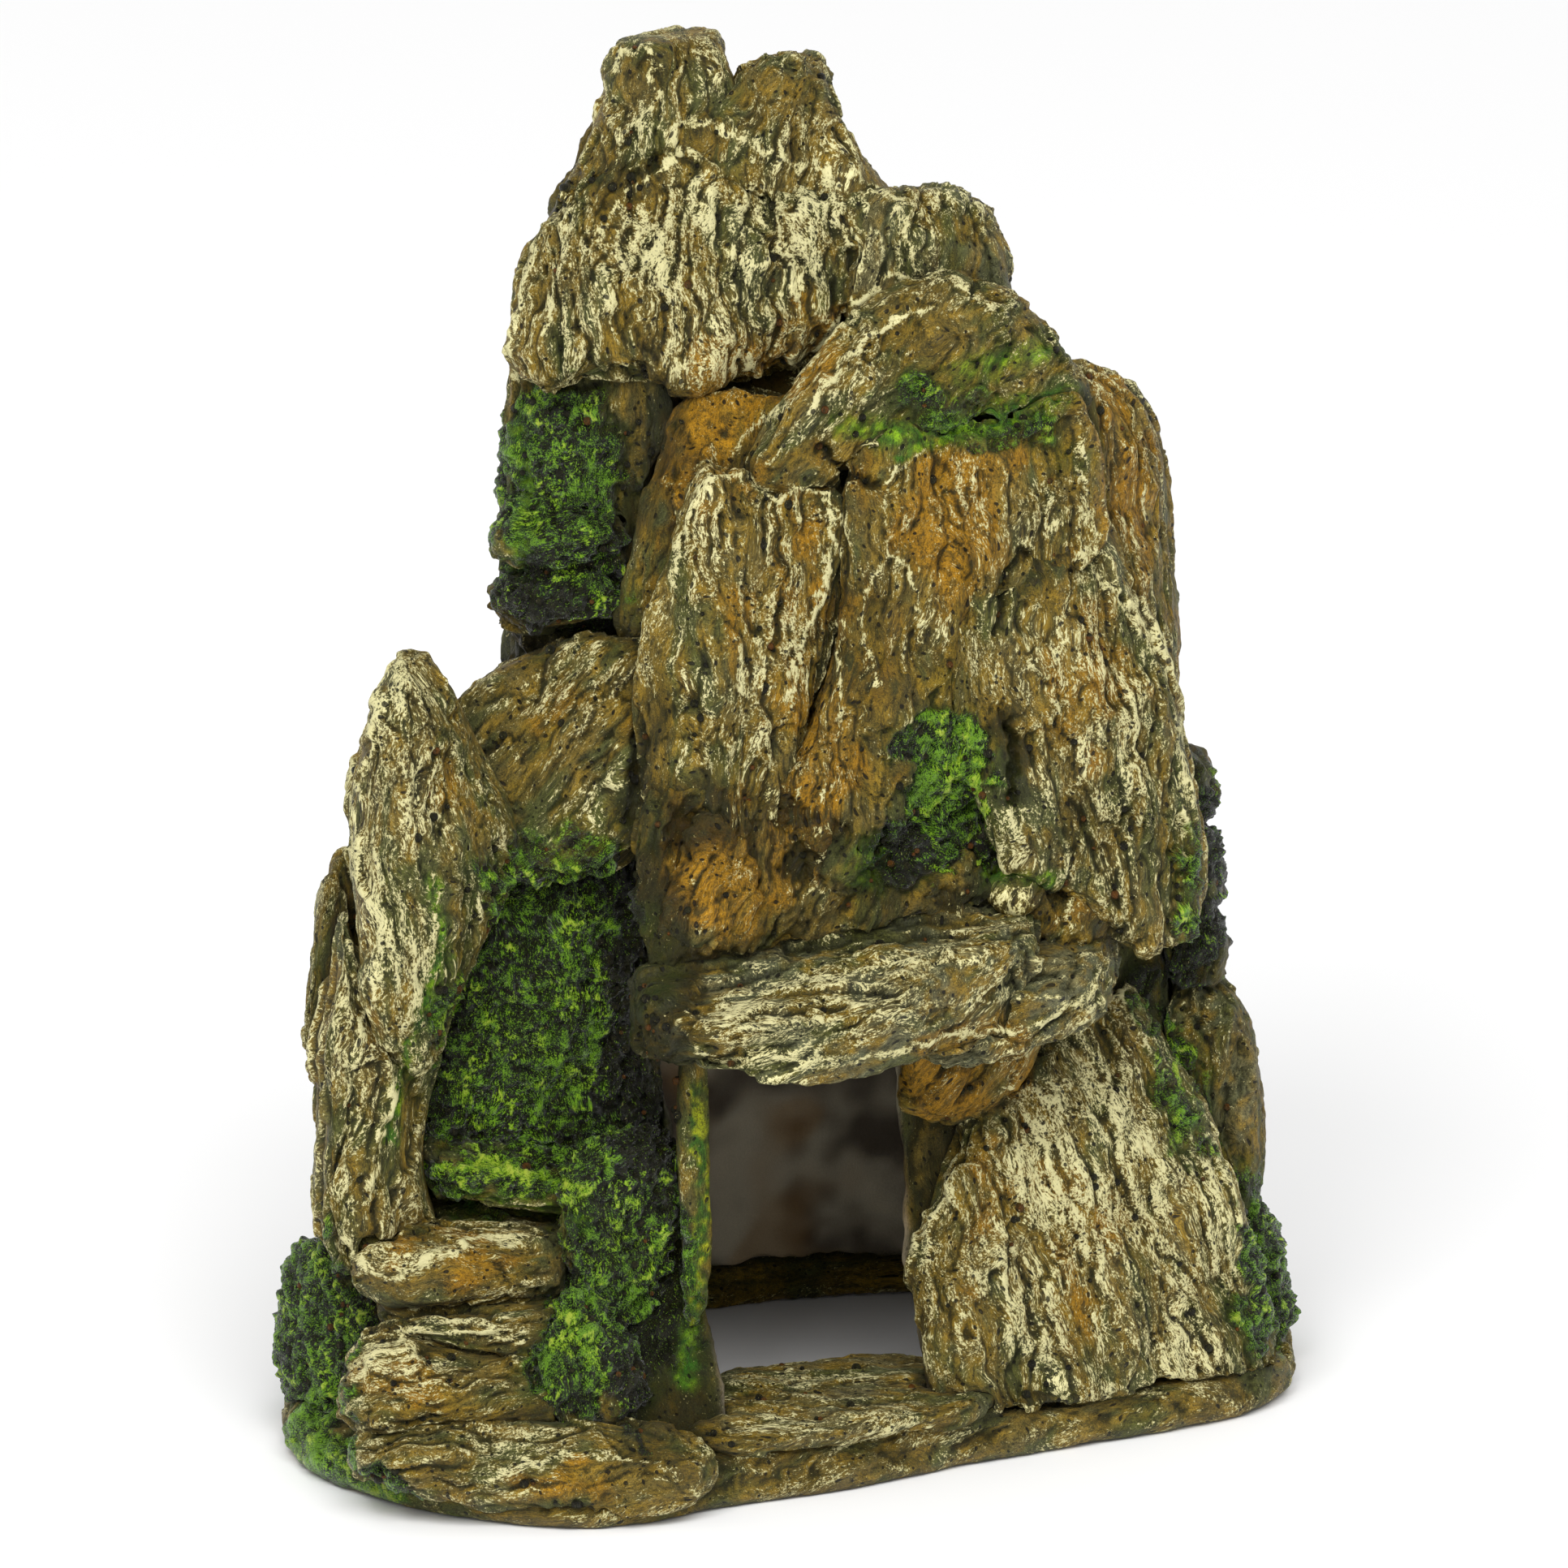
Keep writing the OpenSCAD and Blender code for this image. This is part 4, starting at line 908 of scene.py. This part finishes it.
    # moss: granules brushed with green, then lime on the tips
    gn = math_("ADD", math_("MULTIPLY_ADD", grit, 4.2, -2.1), math_("ADD", math_("MULTIPLY_ADD", speck, 3.0, -1.5), green))
    gf = math_("MULTIPLY", ramp(gn, 0.46, 0.74), mossy)
    col = mixc(col, mixc(tuple(srgb(52, 88, 20)), tuple(srgb(136, 190, 48)), ramp(gn, 0.6, 1.3)), math_("MULTIPLY", gf, 0.95))
    ln = math_("ADD", math_("ADD", math_("MULTIPLY_ADD", speck, 3.2, -1.6), math_("MULTIPLY_ADD", grit, 1.6, -0.8)), lime)
    lf = math_("MULTIPLY", ramp(ln, 0.38, 0.62), mossy)
    col = mixc(col, mixc(tuple(srgb(144, 196, 34)), tuple(srgb(220, 240, 84)), ramp(ln, 0.65, 1.1)), math_("MULTIPLY", lf, 0.92))
    bsdf = N("ShaderNodeBsdfPrincipled")
    out = N("ShaderNodeOutputMaterial")
    L(col, bsdf.inputs["Base Color"])
    rough = math_("MULTIPLY_ADD", gloss, -0.36, 0.58)
    rough = math_("MULTIPLY_ADD", brush, 0.14, rough)
    rough = math_("ADD", rough, math_("MULTIPLY_ADD", mott, 0.3, -0.15))
    rough = math_("MAXIMUM", math_("MULTIPLY_ADD", mossy, -0.16, rough), 0.12)
    L(rough, bsdf.inputs["Roughness"])
    L(math_("MULTIPLY_ADD", mossy, 0.6, 0.3), bsdf.inputs["Specular IOR Level"])
    bump = N("ShaderNodeBump")
    bump.inputs["Strength"].default_value = 0.85
    bump.inputs["Distance"].default_value = 0.00042
    hgt = math_("ADD", math_("MULTIPLY", speck, 1.5), math_("MULTIPLY", grit, 0.8))
    hgt = math_("ADD", hgt, math_("MULTIPLY", fibre, 1.1))
    hgt = math_("ADD", hgt, math_("MULTIPLY", brush, 0.2))
    hgt = math_("SUBTRACT", hgt, math_("MULTIPLY", hole, 1.2))
    hgt = math_("ADD", hgt, math_("MULTIPLY", math_("MULTIPLY", grit, mossy), 3.2))
    keep = math_("MULTIPLY_ADD", inside, -0.88, 1.0)
    hgt = math_("MULTIPLY", hgt, keep)
    L(hgt, bump.inputs["Height"])
    L(bump.outputs[0], bsdf.inputs["Normal"])
    L(bsdf.outputs[0], out.inputs[0])
    return m


slots = {p["node"]: p["material_slot"] for p in frame["record"]["subparts"]}
mats = {}
for name, ob in made:
    sl = slots.get(name, "slate_paint")
    if sl not in mats:
        mats[sl] = material("look_" + sl)
    ob.data.materials.clear()
    ob.data.materials.append(mats[sl])
    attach(ob, "root")
    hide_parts(name)

# ---------------------------------------------------------------- stage
fm = bpy.data.materials.new("floor_paper")
fm.use_nodes = True
fb = fm.node_tree.nodes["Principled BSDF"]
fb.inputs["Base Color"].default_value = (0.9, 0.9, 0.9, 1)
fb.inputs["Roughness"].default_value = 0.9
me = bpy.data.meshes.new("floor")
r = 3.0
me.from_pydata([(-r, -r, -0.0003), (r, -r, -0.0003), (r, r, -0.0003), (-r, r, -0.0003)], [], [(0, 1, 2, 3)])
floor = bpy.data.objects.new("floor", me)
floor.data.materials.append(fm)
bpy.context.scene.collection.objects.link(floor)

world = bpy.data.worlds.new("studio")
bpy.context.scene.world = world
world.use_nodes = True
bg = world.node_tree.nodes["Background"]
bg.inputs[0].default_value = (1, 1, 1, 1)
bg.inputs[1].default_value = 0.66


def lamp(label, az, el, dist, size, watts, aim=(0, 0, 0.09)):
    ld = bpy.data.lights.new(label, "AREA")
    ld.energy, ld.size = watts, size
    ob = bpy.data.objects.new(label, ld)
    a, e = math.radians(az), math.radians(el)
    ob.location = Vector(aim) + Vector((math.sin(a) * math.cos(e), -math.cos(a) * math.cos(e), math.sin(e))) * dist
    ob.rotation_mode = "QUATERNION"
    ob.rotation_quaternion = (Vector(aim) - ob.location).to_track_quat("-Z", "Y")
    bpy.context.scene.collection.objects.link(ob)
    return ob


lamp("key", -50, 46, 1.2, 0.5, 7)


def sky(label, az, el, watts, spread):
    ld = bpy.data.lights.new(label, "SUN")
    ld.energy, ld.angle = watts, math.radians(spread)
    ob = bpy.data.objects.new(label, ld)
    a, e = math.radians(az), math.radians(el)
    d = Vector((math.sin(a) * math.cos(e), -math.cos(a) * math.cos(e), math.sin(e)))
    ob.rotation_mode = "QUATERNION"
    ob.rotation_quaternion = (-d).to_track_quat("-Z", "Y")
    bpy.context.scene.collection.objects.link(ob)


sky("softbox", -5, 52, 1.35, 30)

# camera where the elevation is seen from
cam = bpy.data.cameras.new("camera")
cam.sensor_width = 36
dist = 1.6
cam.lens = 36 * dist / (1932 / 9 / 1000)
co = bpy.data.objects.new("camera", cam)
A, E = math.radians(-25), math.radians(18)
back = Vector((math.sin(A) * math.cos(E), -math.cos(A) * math.cos(E), math.sin(E)))
# the point of the drawing frame at the middle of the picture
mid = (101.5 - 45 * math.sin(TILT)) / math.cos(TILT)
px, py = 0.1 * CT + SHIFT[0], -0.1 * ST + SHIFT[1]
aim = Vector((px / 1000, py / 1000, mid / 1000))
co.location = aim + back * dist
co.rotation_mode = "QUATERNION"
co.rotation_quaternion = (-back).to_track_quat("-Z", "Y")
cam.clip_start, cam.clip_end = 0.05, 20
bpy.context.scene.collection.objects.link(co)
bpy.context.scene.camera = co
bpy.context.scene.view_settings.view_transform = "Standard"
